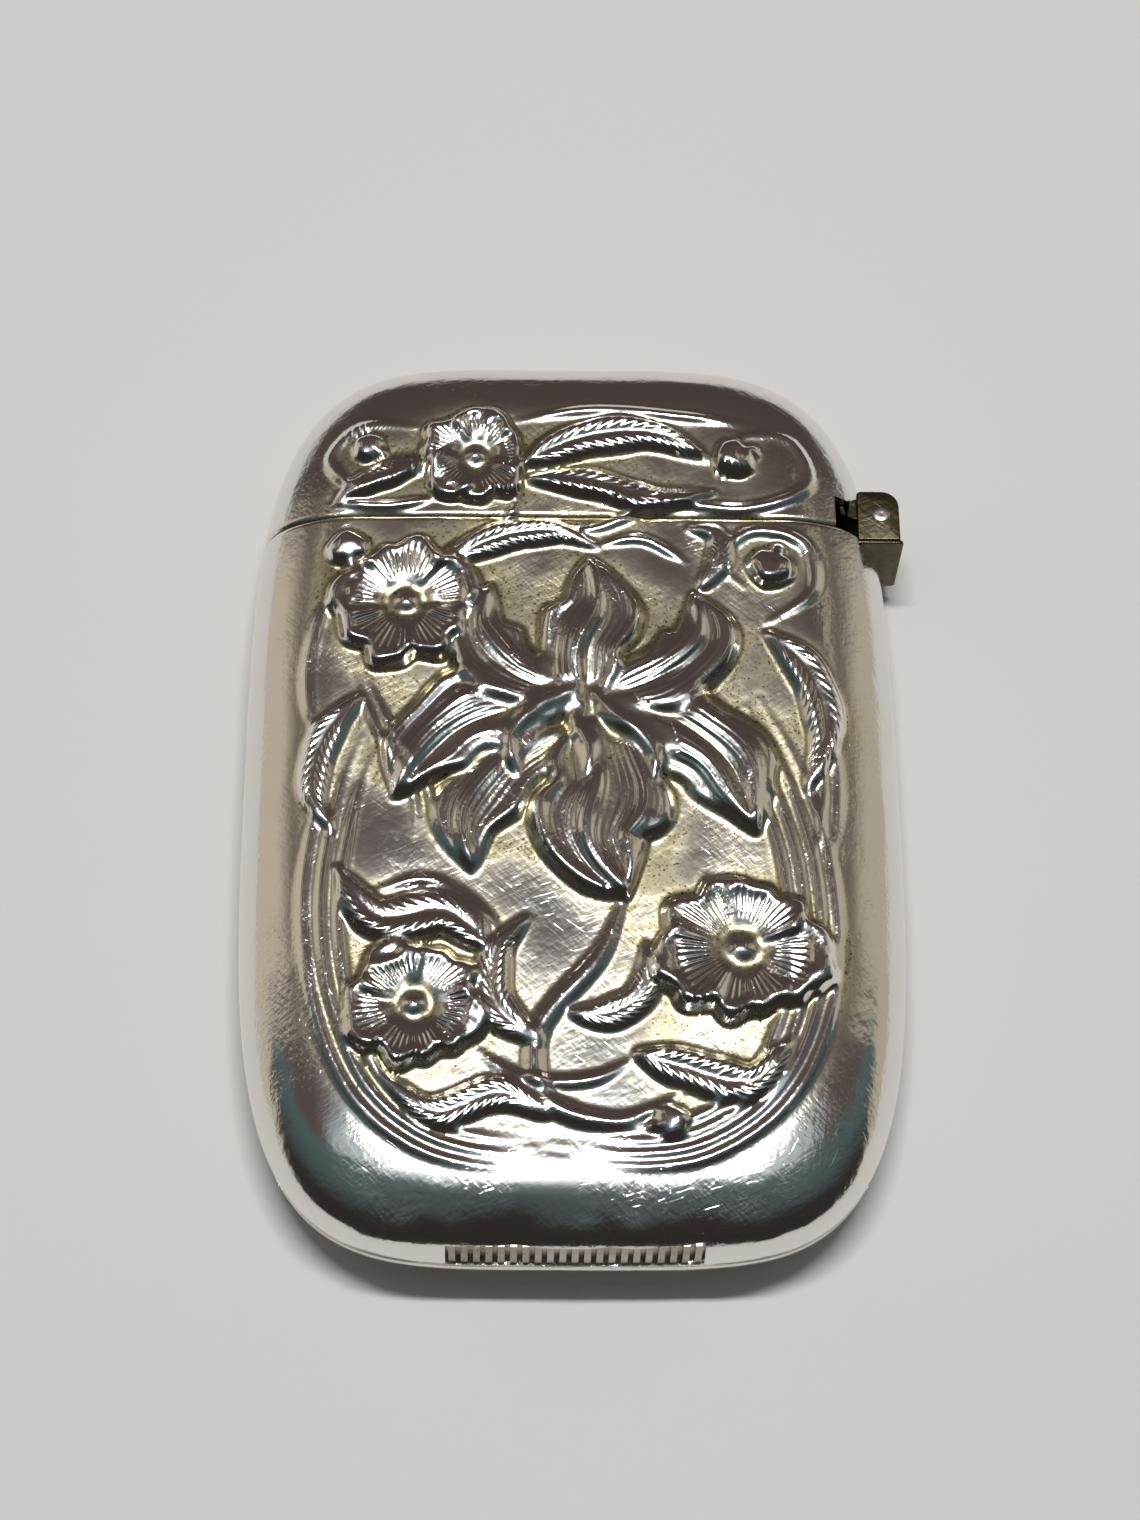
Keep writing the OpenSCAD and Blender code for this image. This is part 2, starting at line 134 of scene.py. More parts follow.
# what a user would change about the struck relief, in mm
relief = {
    "pitch": 0.06,  # cell of the sheet that it is drawn on
    "left": -19.0,
    "right": 19.0,
    "foot": -29.0,
    "head": 28.4,
    "grooveWidth": 0.2,  # of the chased line round each form
    "softness": 0.18,  # how far the struck forms are rounded off
    "heightScale": 0.95,
    "stemHeight": 0.34,
    "stemScale": 1.25,  # of the stems' widths and of the gaps between them
    "ribHeight": 0.026,  # of the fine ribs on petals and leaves
}
# shares of the width, or of the height, that each form has for its parts
leafForm = {"fold": 0.35, "foldWidth": 0.16, "veins": 7, "veinHeight": 0.05, "rim": 0.16, "edge": 0.6}
drapeForm = {"skew": 0.98, "base": 0.35, "ruffle": 0.1, "dome": 0.3, "foldDepth": 0.22, "rim": 0.2,
             "edge": 0.85, "ribs": 15}
petalForm = {"edge": 0.34, "notch": 0.1, "notchWidth": 0.17, "lip": 0.34, "lipAt": 0.87, "lipWidth": 0.085,
             "spread": 46.08, "ribs": 52}
lipForm = {"at": 0.86, "spread": 26, "width": 0.17, "bow": 0.12}


# cubic through the points: each span blends its four neighbours (Catmull-Rom)
def smoothPath(points, count):
    p = np.array(points, float)
    p = np.vstack([2 * p[0] - p[1], p, 2 * p[-1] - p[-2]])
    t = np.linspace(0, len(points) - 1 - 1e-9, count)
    i = t.astype(int)
    t = (t - i)[:, None]
    a, b, c, d = p[i], p[i + 1], p[i + 2], p[i + 3]
    square, cube = 2 * a - 5 * b + 4 * c - d, 3 * b - a - 3 * c + d
    return 0.5 * (2 * b + (c - a) * t + square * t ** 2 + cube * t ** 3)


# the sheet's cells between two corners
def window(low, high):
    corner = np.array((relief["left"], relief["foot"]))
    first = np.maximum(((low - corner) / relief["pitch"]).astype(int), 0)
    last = ((high - corner) / relief["pitch"]).astype(int) + 2
    return slice(first[1], last[1]), slice(first[0], last[0])


# cells near a path: the share of its length at the place nearest to each, and the signed distance to its left
def nearPath(sheet, points, pad, count=40):
    path = smoothPath(points, count)
    area = window(path.min(axis=0) - pad, path.max(axis=0) + pad)
    x, y = sheet["x"][area], sheet["y"][area]
    steps = np.diff(path, axis=0)
    lengths = np.hypot(steps[:, 0], steps[:, 1])
    travelled = np.concatenate([[0], np.cumsum(lengths)])
    best, share, side = np.full(x.shape, np.inf), np.zeros(x.shape), np.ones(x.shape)
    for start, step, length, before in zip(path, steps, lengths, travelled):
        rx, ry = x - start[0], y - start[1]
        t = np.clip((rx * step[0] + ry * step[1]) / (length * length), 0, 1)
        away = np.hypot(rx - t * step[0], ry - t * step[1])
        closer = away < best
        best = np.where(closer, away, best)
        share = np.where(closer, (before + t * length) / travelled[-1], share)
        side = np.where(closer, np.where(step[0] * ry < step[1] * rx, -1, 1), side)
    return area, share, best * side


# cells near a point, with their place in axes turned by an angle
def nearPoint(sheet, centre, reach, angle):
    centre, a = np.array(centre), radians(angle)
    area = window(centre - reach, centre + reach)
    dx, dy = sheet["x"][area] - centre[0], sheet["y"][area] - centre[1]
    return area, dx * np.cos(a) + dy * np.sin(a), dy * np.cos(a) - dx * np.sin(a)


# lays a form over the sheet: its own height inside, rounded down to what is below over the edge's width,
# with a chased groove just outside
def layOver(sheet, area, inside, top, edge, groove=0.07, ride=0.22, softness=0.5, ribs=None, ribbed=0):
    s = np.clip(inside / edge, 0, 1)
    rounded = np.sqrt(1 - (1 - s) ** 2) * (1 - softness) + smoothStep(0, 1, s) * softness
    out = np.clip(-inside, 0, None) / relief["grooveWidth"]
    h = sheet["h"][area]
    under = h - groove * np.exp(-out ** 2) * (out < 3)
    over = np.maximum(top + ride * np.maximum(h, 0), under)
    covered = inside > 0
    sheet["h"][area] = np.where(covered, under + (over - under) * rounded, under)
    sheet["ribbed"][area] = np.where(covered, ribbed, sheet["ribbed"][area])
    if ribs is not None:
        sheet["ribs"][area] = np.where(covered, ribs, sheet["ribs"][area])


# ridge along a path, thinning towards its ends
def stem(sheet, points, width=0.34, height=relief["stemHeight"], thin=(0.35, 0.35)):
    width = width * relief["stemScale"]
    area, t, d = nearPath(sheet, points, width + 0.8, 70)
    w = width
    for share, edges in zip(thin, ((0, 0.3), (1, 0.7))):
        w = w * (share + (1 - share) * smoothStep(*edges, t))
    layOver(sheet, area, w - np.abs(d), height * w / width, w, groove=0.05, ride=0.8, softness=0.35)


# several ridges side by side, spreading from one to the other end of a path
def stemBundle(sheet, points, count, startGap, endGap, width=0.34, thin=(0.35, 0.35)):
    path = smoothPath(points, 40)
    step = np.gradient(path, axis=0)
    side = np.stack([-step[:, 1], step[:, 0]], 1) / np.hypot(step[:, 0], step[:, 1])[:, None]
    t = np.linspace(0, 1, 40)[:, None]
    for k in range(count):
        off = (k - (count - 1) / 2) * (startGap + (endGap - startGap) * t) * relief["stemScale"]
        stem(sheet, (path + side * off)[::5], width, thin=thin)


# blade along a path: w is its half width along t, folded along the middle, with slanting veins
def leaf(sheet, points, width, height=0.6, lean=0.25, **changes):
    form = leafForm | changes
    veins = form["veins"]
    area, t, d = nearPath(sheet, points, width + 1)
    w = width * np.sin(pi * np.clip(t, 0, 1) ** 0.8) ** 0.75 * (1 + 0.05 * np.sin(19 * t + width * 7))
    w = np.maximum(w, 0.02)
    v = np.clip(d / w, -1, 1)
    off = np.abs(v)
    body = 1 - form["fold"] * np.exp(-(v / form["foldWidth"]) ** 2) + lean * v
    if veins:
        body += form["veinHeight"] * np.cos(2 * pi * (veins * t - 1.4 * off)) * smoothStep(0.12, 0.4, off)
    body += form["rim"] * between(off, (0.6, 0.95), (0.93, 1))
    ribbed = between(off, (0.15, 0.35), (0.6, 0.8)) * (veins > 0) * 0.6
    layOver(sheet, area, w - np.abs(d), height * body, form["edge"],
            ribs=2 * pi * (2.6 * veins * t - 3 * off), ribbed=ribbed)


# wide blade along a path with soft lengthwise folds and a rolled, ruffled rim
def drape(sheet, points, width, height, folds, phase, waves, lean=0.0, fine=0.5):
    form = drapeForm
    area, t, d = nearPath(sheet, points, width * 1.3 + 1)
    shape = form["base"] * (1 - t) + np.sin(pi * np.clip(t, 0, 1) ** (1 / form["skew"])) ** 0.6
    w = width * np.minimum(shape, 1.2) * np.sqrt(np.clip(1 - t ** 9, 0, 1)) / 1.05
    w = w * (1 + form["ruffle"] * np.sin(2 * pi * waves * t + phase + np.sign(d) * 0.9))
    w = np.maximum(w, 0.03)
    v = np.clip(d / w, -1.2, 1.2)
    off = np.abs(v)
    wave = np.cos(pi * folds * v * (0.75 + 0.35 * t) + phase + np.sin(3 * t + phase))
    wave += 0.3 * np.cos(pi * 1.9 * folds * v + 2.1 * phase + 2.5 * t)
    body = 0.92 - form["dome"] * v ** 2 + form["foldDepth"] * wave + lean * v
    body += form["rim"] * smoothStep(0.62, 0.86, off) * (1 - 0.9 * smoothStep(0.88, 1.0, off))
    body *= 0.62 + 0.38 * smoothStep(0, 0.45, t)
    ribbed = fine * (1 - smoothStep(0.5, 0.72, off)) * between(t, (0.02, 0.2), (0.6, 0.9))
    layOver(sheet, area, w - np.abs(d), height * body, form["edge"],
            ribs=v * width * form["ribs"] + phase, ribbed=ribbed)


# one petal of a blossom: radius 1 at the rim, cupped, ribbed from the middle, with a rolled lip
def petal(sheet, centre, angle, size, height, seed):
    form = petalForm
    area, u, v = nearPoint(sheet, centre, size * 1.25, angle)
    r = np.hypot(u / size, v / size)
    phi = np.arctan2(v, u)
    half = radians(form["spread"])
    q = np.clip(phi / half, -1.4, 1.4)
    off = np.abs(q)
    notch = np.exp(-((q - 0.2 * np.sin(seed)) / form["notchWidth"]) ** 2)
    rim = 1 - 0.22 * off ** 2.8 - form["notch"] * notch
    rim = rim + 0.045 * np.sin(6 * phi + seed) + 0.025 * np.sin(13 * phi + 2 * seed)
    sides = (half - np.abs(phi)) * np.maximum(r, 0.02) * 1.1
    k = np.clip(r / rim, 0, 1)
    body = 0.36 + 0.46 * smoothStep(0.1, 0.85, k) + 0.12 * np.sin(2.1 * phi + seed)
    body += 0.06 * np.cos(9 * phi + seed) * between(k, (0.2, 0.45), (0.78, 0.9))
    wavy = 0.62 + 0.38 * np.sin(5 * phi + 1.7 * seed)
    body += form["lip"] * wavy * np.exp(-((k - form["lipAt"]) / form["lipWidth"]) ** 2)
    ribbed = between(k, (0.24, 0.4), (0.7, 0.84)) * (1 - smoothStep(0.7, 0.95, off))
    layOver(sheet, area, np.minimum(rim - r, sides) * size, height * body, form["edge"],
            ribs=phi * form["ribs"], ribbed=ribbed)


# lobe of a petal turned over its rim: a smooth crescent
def turnedLip(sheet, centre, angle, size, height):
    t = np.linspace(-1, 1, 9)
    a = radians(angle) + radians(lipForm["spread"]) * t
    r = size * (lipForm["at"] + lipForm["bow"] * (1 - t ** 2) - 0.05)
    width = size * lipForm["width"]
    points = np.stack([centre[0] + r * np.cos(a), centre[1] + r * np.sin(a)], 1)
    area, s, d = nearPath(sheet, points, width + 1, 30)
    w = np.maximum(width * np.sin(pi * s) ** 0.55, 0.02)
    v = np.clip(d / w, -1, 1)
    top = height * (1 - 0.25 * v)
    layOver(sheet, area, w - np.abs(d), top, w * 0.9, groove=0.09, ride=0.35, softness=0.1)


# dome of a radius, or an oval one, with a groove round it
def boss(sheet, centre, radius, height, squash=1.0, angle=0.0, groove=0.12, ride=0.25):
    area, u, v = nearPoint(sheet, centre, radius * 1.6 + 0.6, angle)
    inside = (radius - np.hypot(u, v / squash)) * min(squash, 1)
    layOver(sheet, area, inside, height, radius * 0.9, groove=groove, ride=ride, softness=0.2)


def blossom(sheet, centre, size, height, turn, seed, lips):
    for n, k in enumerate((0, 2, 4, 1, 3)):
        scale = 1 + 0.09 * np.sin(2.3 * k + seed)
        petal(sheet, centre, turn + 72 * k, size * scale, height * (0.88 + 0.05 * n), seed + 1.9 * k)
    for k in lips:
        turnedLip(sheet, centre, turn + 72 * k + 9 * np.sin(seed + k), size, height * 0.8)
    boss(sheet, centre, size * 0.27, height * 0.42, groove=0.16, ride=0.1)
    boss(sheet, centre, size * 0.17, height * 0.55, ride=0.5)
    # ring of small beads
    for a in 2 * pi * np.arange(15) / 15 + seed:
        place = (centre[0] + size * 0.33 * np.cos(a), centre[1] + size * 0.33 * np.sin(a))
        boss(sheet, place, size * 0.04, 0.07, groove=0.03, ride=0.9)


# closed bud on a cup
def bud(sheet, centre, angle, size, height):
    a = radians(angle)
    axis = np.array([np.cos(a), np.sin(a)])
    side = np.array([-axis[1], axis[0]])
    for off, bend in ((0.42, 0.5), (-0.42, 0.5), (0.0, 0.0)):
        points = [centre - axis * size * 0.5 + side * off * 0.4 * size,
                  centre + side * off * 0.9 * size * (1 + bend * 0.2),
                  centre + axis * size * (0.95 - 0.12 * bend) + side * off * 0.1 * size]
        leaf(sheet, points, size * 0.42, height, 0.15 * np.sign(off), fold=-0.1, veins=0, edge=0.4)
    boss(sheet, centre - axis * size * 0.62, size * 0.33, height * 0.75, squash=1.25, angle=angle + 90)


# lowest layer, long whiplash stems: path, number of stems, their gap at its start and at its end, width,
# and share of the width at both ends
bundles = (
    ([(-0.5, -26.3), (-7.6, -25.9), (-13.0, -21.4), (-15.6, -12), (-14.6, -2), (-11.8, 5)],
     3, 0.7, 1.0, 0.34, (0.05, 0.3)),
    ([(-2.2, -24.6), (4, -26), (10.6, -23.6), (14.4, -16), (14.3, -6), (11.6, 1.6), (8.6, 6.4)],
     4, 0.6, 0.9, 0.34, (0.05, 0.3)),
    ([(-13.6, 6), (-11.8, 1.5), (-9.6, -2.5), (-9.4, -7)], 2, 0.5, 0.9, 0.26),
    ([(12.6, 9.4), (15.6, 4), (16.2, -3), (15.0, -9)], 2, 0.5, 0.9, 0.3),
)
# stems: path, then width and height where they aren't the usual ones
stems = (
    ([(12.6, 10), (15.6, 12.4), (15.2, 16), (11.8, 16.9), (9.6, 14.6), (11.2, 12.6)], 0.4),
    ([(-12.5, 8), (-8.6, 14.4), (-4.4, 17.4), (-3.4, 20.6)], 0.42),
    ([(3.4, -8.5), (1.6, -13.5), (-2.2, -18.5), (-1.8, -23.0), (2.4, -24.4), (6.4, -22.6)], 0.6, 0.5),
    ([(-6.6, -19.4), (-3.4, -21.6), (0.8, -21.8), (3.8, -20.2)], 0.36),
    ([(-16.4, 1), (-17.0, 6), (-16.2, 10.5), (-14.4, 12.8)],),
    ([(-4.4, 17.4), (1, 16.9), (6, 18.9), (11.6, 18.7), (15.6, 20.6), (14.6, 24.3), (11.2, 24.2), (10.6, 22)],
     0.38),
    ([(-10, 24.9), (-14, 25.0), (-16.0, 22.6), (-14.4, 20.2), (-12.2, 21.1), (-12.9, 22.6)],),
    ([(-4, 25.4), (1.6, 26.4), (7.6, 25.9), (12.4, 25.2)],),
    ([(-16.2, 18.9), (-12, 18.7), (-8.6, 19.4)], 0.32),
    ([(7.6, 14.4), (4.6, 16.2), (1.6, 15.7)], 0.3),
    ([(-12.8, -9.5), (-9, -8.6), (-5.6, -10.8), (-4.2, -13.6)], 0.32),
)
# leaves: path, width, height, and lean to one side where it isn't the usual one
leaves = (
    ([(-5.0, -13.4), (-8.0, -10.9), (-12.2, -11.2), (-15.0, -7.4)], 1.7, 0.65),
    ([(-1.9, -19.6), (-4.7, -17.2), (-4.9, -13.8), (-2.7, -10.8)], 1.3, 0.6, -0.25),
    ([(-0.6, -17.4), (1.9, -17.6), (4.2, -16.0), (4.4, -12.4)], 1.15, 0.55, 0.2),
    ([(3.4, -20.0), (6.4, -21.0), (10.6, -21.9), (13.4, -18.9)], 1.5, 0.65),
    ([(-1.4, -24.3), (-4.6, -22.7), (-8.6, -23.9), (-11.8, -21.2)], 1.25, 0.55, -0.2),
    ([(12.4, 9.4), (15.0, 6.4), (16.0, 2.2), (14.6, -2.6)], 1.4, 0.65),
    ([(-13.4, 4.6), (-15.7, 1.4), (-16.3, -2.6), (-14.8, -5.6)], 1.15, 0.55, -0.2),
    ([(-3.4, 21.8), (0.8, 23.9), (5.2, 24.3), (9.4, 22.4)], 1.55, 0.75),
    ([(-3.2, 20.8), (1.2, 20.5), (5.4, 19.2), (9.8, 20.0)], 1.25, 0.66, -0.25),
    ([(-9.6, 22.0), (-12.0, 21.2), (-14.6, 19.8), (-15.8, 18.5)], 1.05, 0.6),
    ([(-8.4, 13.8), (-5.4, 15.8), (-1.4, 16.6), (2.0, 15.4)], 1.2, 0.6),
    ([(8.2, 12.2), (9.6, 14.6), (9.4, 16.6), (7.2, 17.2)], 0.95, 0.55),
)
# the large bloom's petals: path, width, height, folds, their phase, waves of the rim, lean, share of ribs;
# low back ones, long falls, then the upright ones and the small inner ones
bloom = (
    ([(-1, 1.6), (-4.6, -1.2), (-6.6, -4.6), (-6.4, -8.4)], 2.4, 0.7, 2.2, 0.4, 2.0),
    ([(1.5, 2.2), (2.0, -2.0), (1.4, -6.2), (3.4, -10.0)], 3.8, 0.95, 3, 0.6, 2.4),
    ([(-0.8, 3.6), (-4.8, 3.6), (-8.8, 1.2), (-11.4, -3.2)], 3.0, 0.95, 2.6, 2.1, 2.6, -0.1),
    ([(2.0, 3.2), (6.2, 2.4), (9.8, -0.8), (11.4, -5.6)], 3.1, 1.0, 2.8, 3.6, 2.4, 0.1),
    ([(-0.2, 4.2), (-4.2, 6.2), (-6.2, 9.2), (-5.2, 12.8)], 2.4, 0.85, 2.4, 1.1, 2.1),
    ([(1.8, 4.0), (5.6, 5.6), (8.4, 8.4), (7.8, 12.4)], 2.5, 0.9, 2.4, 4.4, 2.2),
    ([(0.8, 3.6), (0.4, 7.2), (1.6, 10.8), (1.0, 14.9)], 2.8, 1.05, 2.4, 5.2, 2.5),
    ([(0.6, 4.8), (-1.8, 3.4), (-3.8, 1.0), (-3.6, -1.8)], 1.25, 0.9, 1.4, 0, 1.5, 0, 0),
    ([(1.2, 4.8), (3.4, 2.8), (5.2, 0.4), (5.0, -2.4)], 1.25, 0.9, 1.4, 1, 1.5, 0, 0),
    ([(0.9, 4.6), (0.4, 2.4), (1.2, 0.4), (0.6, -2.2)], 0.95, 0.85, 1.2, 2, 1.5, 0, 0),
)
# blossoms: middle, radius, height, turn, seed of their waves, petals with a turned lip
blossoms = (
    ((-10.8, 11.2), 4.7, 0.9, 20, 0.4, (0, 2)),
    ((10.2, -13.2), 5.3, 0.95, -12, 1.7, (0, 3)),
    ((-9.8, -17.0), 4.3, 0.85, 50, 2.9, (1, 4)),
    ((-6.4, 22.5), 3.7, 0.85, 8, 4.2, (1, 3)),
)
# buds: middle, angle, size, height
buds = (
    ((13.0, 14.2), 250, 1.9, 0.85),
    ((10.9, 22.6), 205, 1.8, 0.8),
    ((5.6, -24.4), 20, 1.4, 0.6),
    ((-14.6, 15.2), 100, 1.7, 0.75),
    ((-13.4, 23.2), 150, 1.4, 0.65),
)


layers = ((stemBundle, bundles), (stem, stems), (leaf, leaves), (drape, bloom), (blossom, blossoms),
          (bud, buds))


def drawRelief():
    x = np.arange(relief["left"], relief["right"], relief["pitch"])
    y = np.arange(relief["foot"], relief["head"], relief["pitch"])
    sheet = dict(zip("xy", np.meshgrid(x, y)))
    for key in ("h", "ribs", "ribbed"):
        sheet[key] = np.zeros_like(sheet["x"])
    for form, rows in layers:
        for row in rows:
            form(sheet, *row)
    return sheet


# Gaussian blur by way of the Fourier transform
def blur(field, radius):
    n = max(int(3 * radius / relief["pitch"]), 1)
    k = np.exp(-0.5 * (np.arange(-n, n + 1) * relief["pitch"] / radius) ** 2)
    k /= k.sum()
    padded = np.pad(field, n, mode="edge")
    size = 1 << int(np.ceil(np.log2(max(padded.shape))))
    kernel = np.zeros((size, size))
    kernel[:2 * n + 1, :2 * n + 1] = np.outer(k, k)
    kernel = np.roll(kernel, (-n, -n), (0, 1))
    full = np.fft.irfft2(np.fft.rfft2(padded, (size, size)) * np.fft.rfft2(kernel), (size, size))
    return full[n:n + field.shape[0], n:n + field.shape[1]]


# reads a layer of the sheet at any places: the mean of its four nearest cells, weighted by nearness
def sheetValue(sheet, key, x, y):
    values = sheet[key]
    u = np.clip((x - relief["left"]) / relief["pitch"], 0, values.shape[1] - 1.001)
    v = np.clip((y - relief["foot"]) / relief["pitch"], 0, values.shape[0] - 1.001)
    i, j = u.astype(int), v.astype(int)
    fu, fv = u - i, v - j
    low = values[j, i] * (1 - fu) + values[j, i + 1] * fu
    high = values[j + 1, i] * (1 - fu) + values[j + 1, i + 1] * fu
    return low * (1 - fv) + high * fv


# where tarnish stays: a stain on ground lower than the forms round it, and dark creases beside them;
# and where hands polish: tops higher than what is round them
def weatherSheet(sheet):
    h = sheet["h"] = blur(sheet["h"], relief["softness"]) * relief["heightScale"]
    # the fine ribs end a little before a place where their phase jumps from one form to the next
    jump = np.abs(np.gradient(sheet["ribs"])).max(axis=0) > 1.5
    sheet["ribbed"] = blur(np.where(blur(jump.astype(float), 0.1) > 0.04, 0, sheet["ribbed"]), 0.07)
    wide, mid, near = (blur(h, radius) for radius in (2.0, 0.8, 0.3))
    stain = smoothStep(0.0, 0.3, wide - h)
    hollow = np.clip((mid - h) / 0.3, 0, 1)
    crease = np.clip((near - h) / 0.09, 0, 1)
    sheet["dull"] = 0.95 * stain ** 1.4 + 0.3 * hollow + 0.2 * crease
    sheet["high"] = np.clip((h - wide) / 0.4, 0, 1)
    return sheet


# power of the rounding's profile: an ellipse all round, squarer at the wall in the middle of the foot
def profilePower(angle, climb, end, front):
    if not front or end > 0:
        return np.full_like(angle, 2.0)
    shoulder = smoothStep(radians(15), radians(60), climb)
    power = case["footPower"] + (case["shoulderPower"] - case["footPower"]) * shoulder
    return 2 + (power - 2) * np.clip(np.sin(angle), 0, None) ** case["footFocus"]


# superellipse outline at an angle, moved inwards: |x/a|^p + |y/b|^q = 1, with y towards the piece's end
def outlinePoint(angle, inset):
    c, s = np.cos(angle), np.sin(angle)
    return ((case["halfWidth"] - inset) * np.abs(c) ** (2 / case["sidePower"]),
            (case["halfLength"] - inset) * np.sign(s) * np.abs(s) ** (2 / case["endPower"]))


# soft dents left by handling all over the sheet, and a wavy crease at the foot
def softDents(x, y):
    nearFoot = np.exp(-((y - case["footDentY"]) / case["footDentWidth"]) ** 2)
    return case["dent"] * crossing(dentWaves, x, y) \
        + case["footDent"] * crossing(creaseWaves, x, y) * nearFoot


# Grid over one struck half, from the mouth to its end. Column i runs across and row j towards the end.
# Each place has a ring: 1 is the soldered joint, flatRing the rim of the flat face, 0 the mouth's middle.
# Inside the flat rim the rings shrink towards that middle, outside it they climb the rounded profile.
def shellGrid(end, front, inset, cols, rows):
    a, b = case["halfWidth"], case["halfLength"]
    turn = case["frontRound" if front else "backRound"] - inset
    depth = case["frontDepth" if front else "backDepth"] - inset
    mouth = end * case["mouthY" if end < 0 else "lidY"]
    flatRing = case["flatRing"]

    def steps(flat, band, crowd):
        outer = flatRing + (1 - flatRing) * np.linspace(0, 1, band + 1)[1:] ** case["bandCrowd"]
        return np.concatenate([flatRing * np.linspace(0, 1, flat + 1) ** crowd, outer])

    half = steps(*cols, 1)
    across, along = np.meshgrid(np.concatenate([-half[:0:-1], half]), steps(*rows, case["mouthCrowd"]))
    ring = np.maximum(np.abs(across), along)
    atSide = np.abs(across) >= along
    share = np.where(atSide, along, np.abs(across)) / np.maximum(ring, 1e-9)
    # direction on the profile: 0 at the joint, 90 degrees at the flat face
    climb = pi / 2 * np.clip((1 - ring) / (1 - flatRing), 0, 1)
    corner = radians(case["cornerAngle"])
    angle = np.full_like(ring, corner)
    # the profile depends on the angle and the angle on the profile, so they settle in a few rounds
    for _ in range(5):
        power = profilePower(angle, climb, end, front)
        norm = (np.cos(climb) ** power + np.sin(climb) ** power) ** (1 / power)
        move = inset + turn * (1 - np.cos(climb) / norm)
        cornerX, cornerY = outlinePoint(corner, move)
        wantX, wantY = cornerX * share, mouth + (cornerY - mouth) * share
        upShare = np.clip(np.abs(wantY) / (b - move), 0, 1) ** (case["endPower"] / 2)
        endAngle = np.arccos(np.clip(wantX / (a - move), 0, 1) ** (case["sidePower"] / 2))
        angle = np.where(atSide, np.arcsin(np.sign(wantY) * upShare), endAngle)
    rimX, rimY = outlinePoint(angle, move)
    shrink = np.clip(ring / flatRing, 0, 1)
    x = shrink * rimX * np.sign(across)
    y = mouth + shrink * (rimY - mouth)
    x = np.where(ring < 1e-9, 0, x)
    y[0] = mouth
    z = np.sin(climb) / norm * depth * (1 if front else -1)
    return x, end * y, case["jointZ"] + z, ring


# unit normals of a grid, from the differences between its neighbours
def gridNormals(p, facing):
    n = np.cross(np.gradient(p, axis=1), np.gradient(p, axis=0)) * facing
    return n / np.maximum(np.linalg.norm(n, axis=2, keepdims=True), 1e-12)


# quads of a grid whose points start at a number, and the loop round its border
def quadsOf(rows, cols, start, outward):
    n = np.arange(rows * cols).reshape(rows, cols) + start
    q = np.stack([n[:-1, :-1], n[:-1, 1:], n[1:, 1:], n[1:, :-1]], 2).reshape(-1, 4)
    return (q if outward else q[:, ::-1]), np.concatenate([n[0], n[1:, -1], n[-1, -2::-1], n[-2:0:-1, 0]])


# One struck half: the outer grid with its relief, a coarser inner one, and the rim between them.
# Each inner edge on the rim meets "coarser" outer ones, and a rim face takes in all their corners.
def struckHalf(name, end, front, cols, rows, sheet=None):
    facing = end * (1 if front else -1)
    x, y, z, ring = shellGrid(end, front, 0, cols, rows)
    p = np.dstack([x, y, z])
    normal = gridNormals(p, facing)
    fromMouth = np.abs(y - y[0, 0])
    rise = softDents(x, y + case["backShift"] * (not front)) * smoothStep(1.0, 0.93, ring)
    if front:
        rise += case["crown"] * arch(x, case["crownX"]) * arch(y, case["crownY"])
    else:
        rise -= case["backSink"] * smoothStep(1.0, 0.85, ring)
    if sheet:
        rise += sheetValue(sheet, "h", x, y) * smoothStep(0.99, 0.9, ring)
    rise -= case["lipDepth"] * np.clip(1 - fromMouth / case["lipWidth"], 0, 1) ** 2
    rise -= case["seamDepth"] * smoothStep(1 - case["seamWidth"], 1, ring)
    # the edge at the mouth stays in its plane
    normal[:3, :, 1] = 0
    p = p + normal * rise[..., None]
    step = case["coarser"]
    q = np.dstack(shellGrid(end, front, case["wall"], *(np.array(n) // step for n in (cols, rows)))[:3])
    outerQuads, outerRim = quadsOf(*x.shape, 0, facing > 0)
    innerQuads, innerRim = quadsOf(*q.shape[:2], x.size, facing < 0)
    count = len(innerRim)
    outer = np.append(outerRim, outerRim[0])[np.arange(count)[:, None] * step + np.arange(step + 1)]
    rim = np.hstack([outer, np.stack([np.roll(innerRim, -1), innerRim], 1)])
    rim = rim[:, ::-1] if facing > 0 else rim
    points = np.vstack([p.reshape(-1, 3), q.reshape(-1, 3)])
    piece = addMesh(name, points, np.vstack([outerQuads, innerQuads]), list(rim))
    for key in ("dull", "high", "ribs", "ribbed") if sheet else ():
        value = sheetValue(sheet, key, x, y)
        if key == "dull":
            value = value + 0.9 * smoothStep(1 - 0.8 * case["seamWidth"], 1, ring)
            value = value + 0.45 * np.exp(-(fromMouth / 0.3) ** 2)
        values = np.concatenate([value.ravel(), np.zeros(q.size // 3)])
        piece.data.attributes.new(key, "FLOAT", "POINT").data.foreach_set("value", values.astype(np.float32))
    sharpen(piece)
    return piece


# edges over an angle stay crisp
def sharpen(piece, angle=38):
    piece.data.set_sharp_from_angle(angle=radians(angle))


# skin over rings of equally many points: the quads between them, and the first and the last ring as caps
def skin(rings):
    n, m = rings.shape[:2]
    k = np.arange(n * m).reshape(n, m)
    turned = np.roll(k, -1, 1)
    quads = np.stack([k[:-1], turned[:-1], turned[1:], k[1:]], 2).reshape(-1, 4)
    return rings.reshape(-1, 3), quads, [k[0, ::-1], k[-1]]


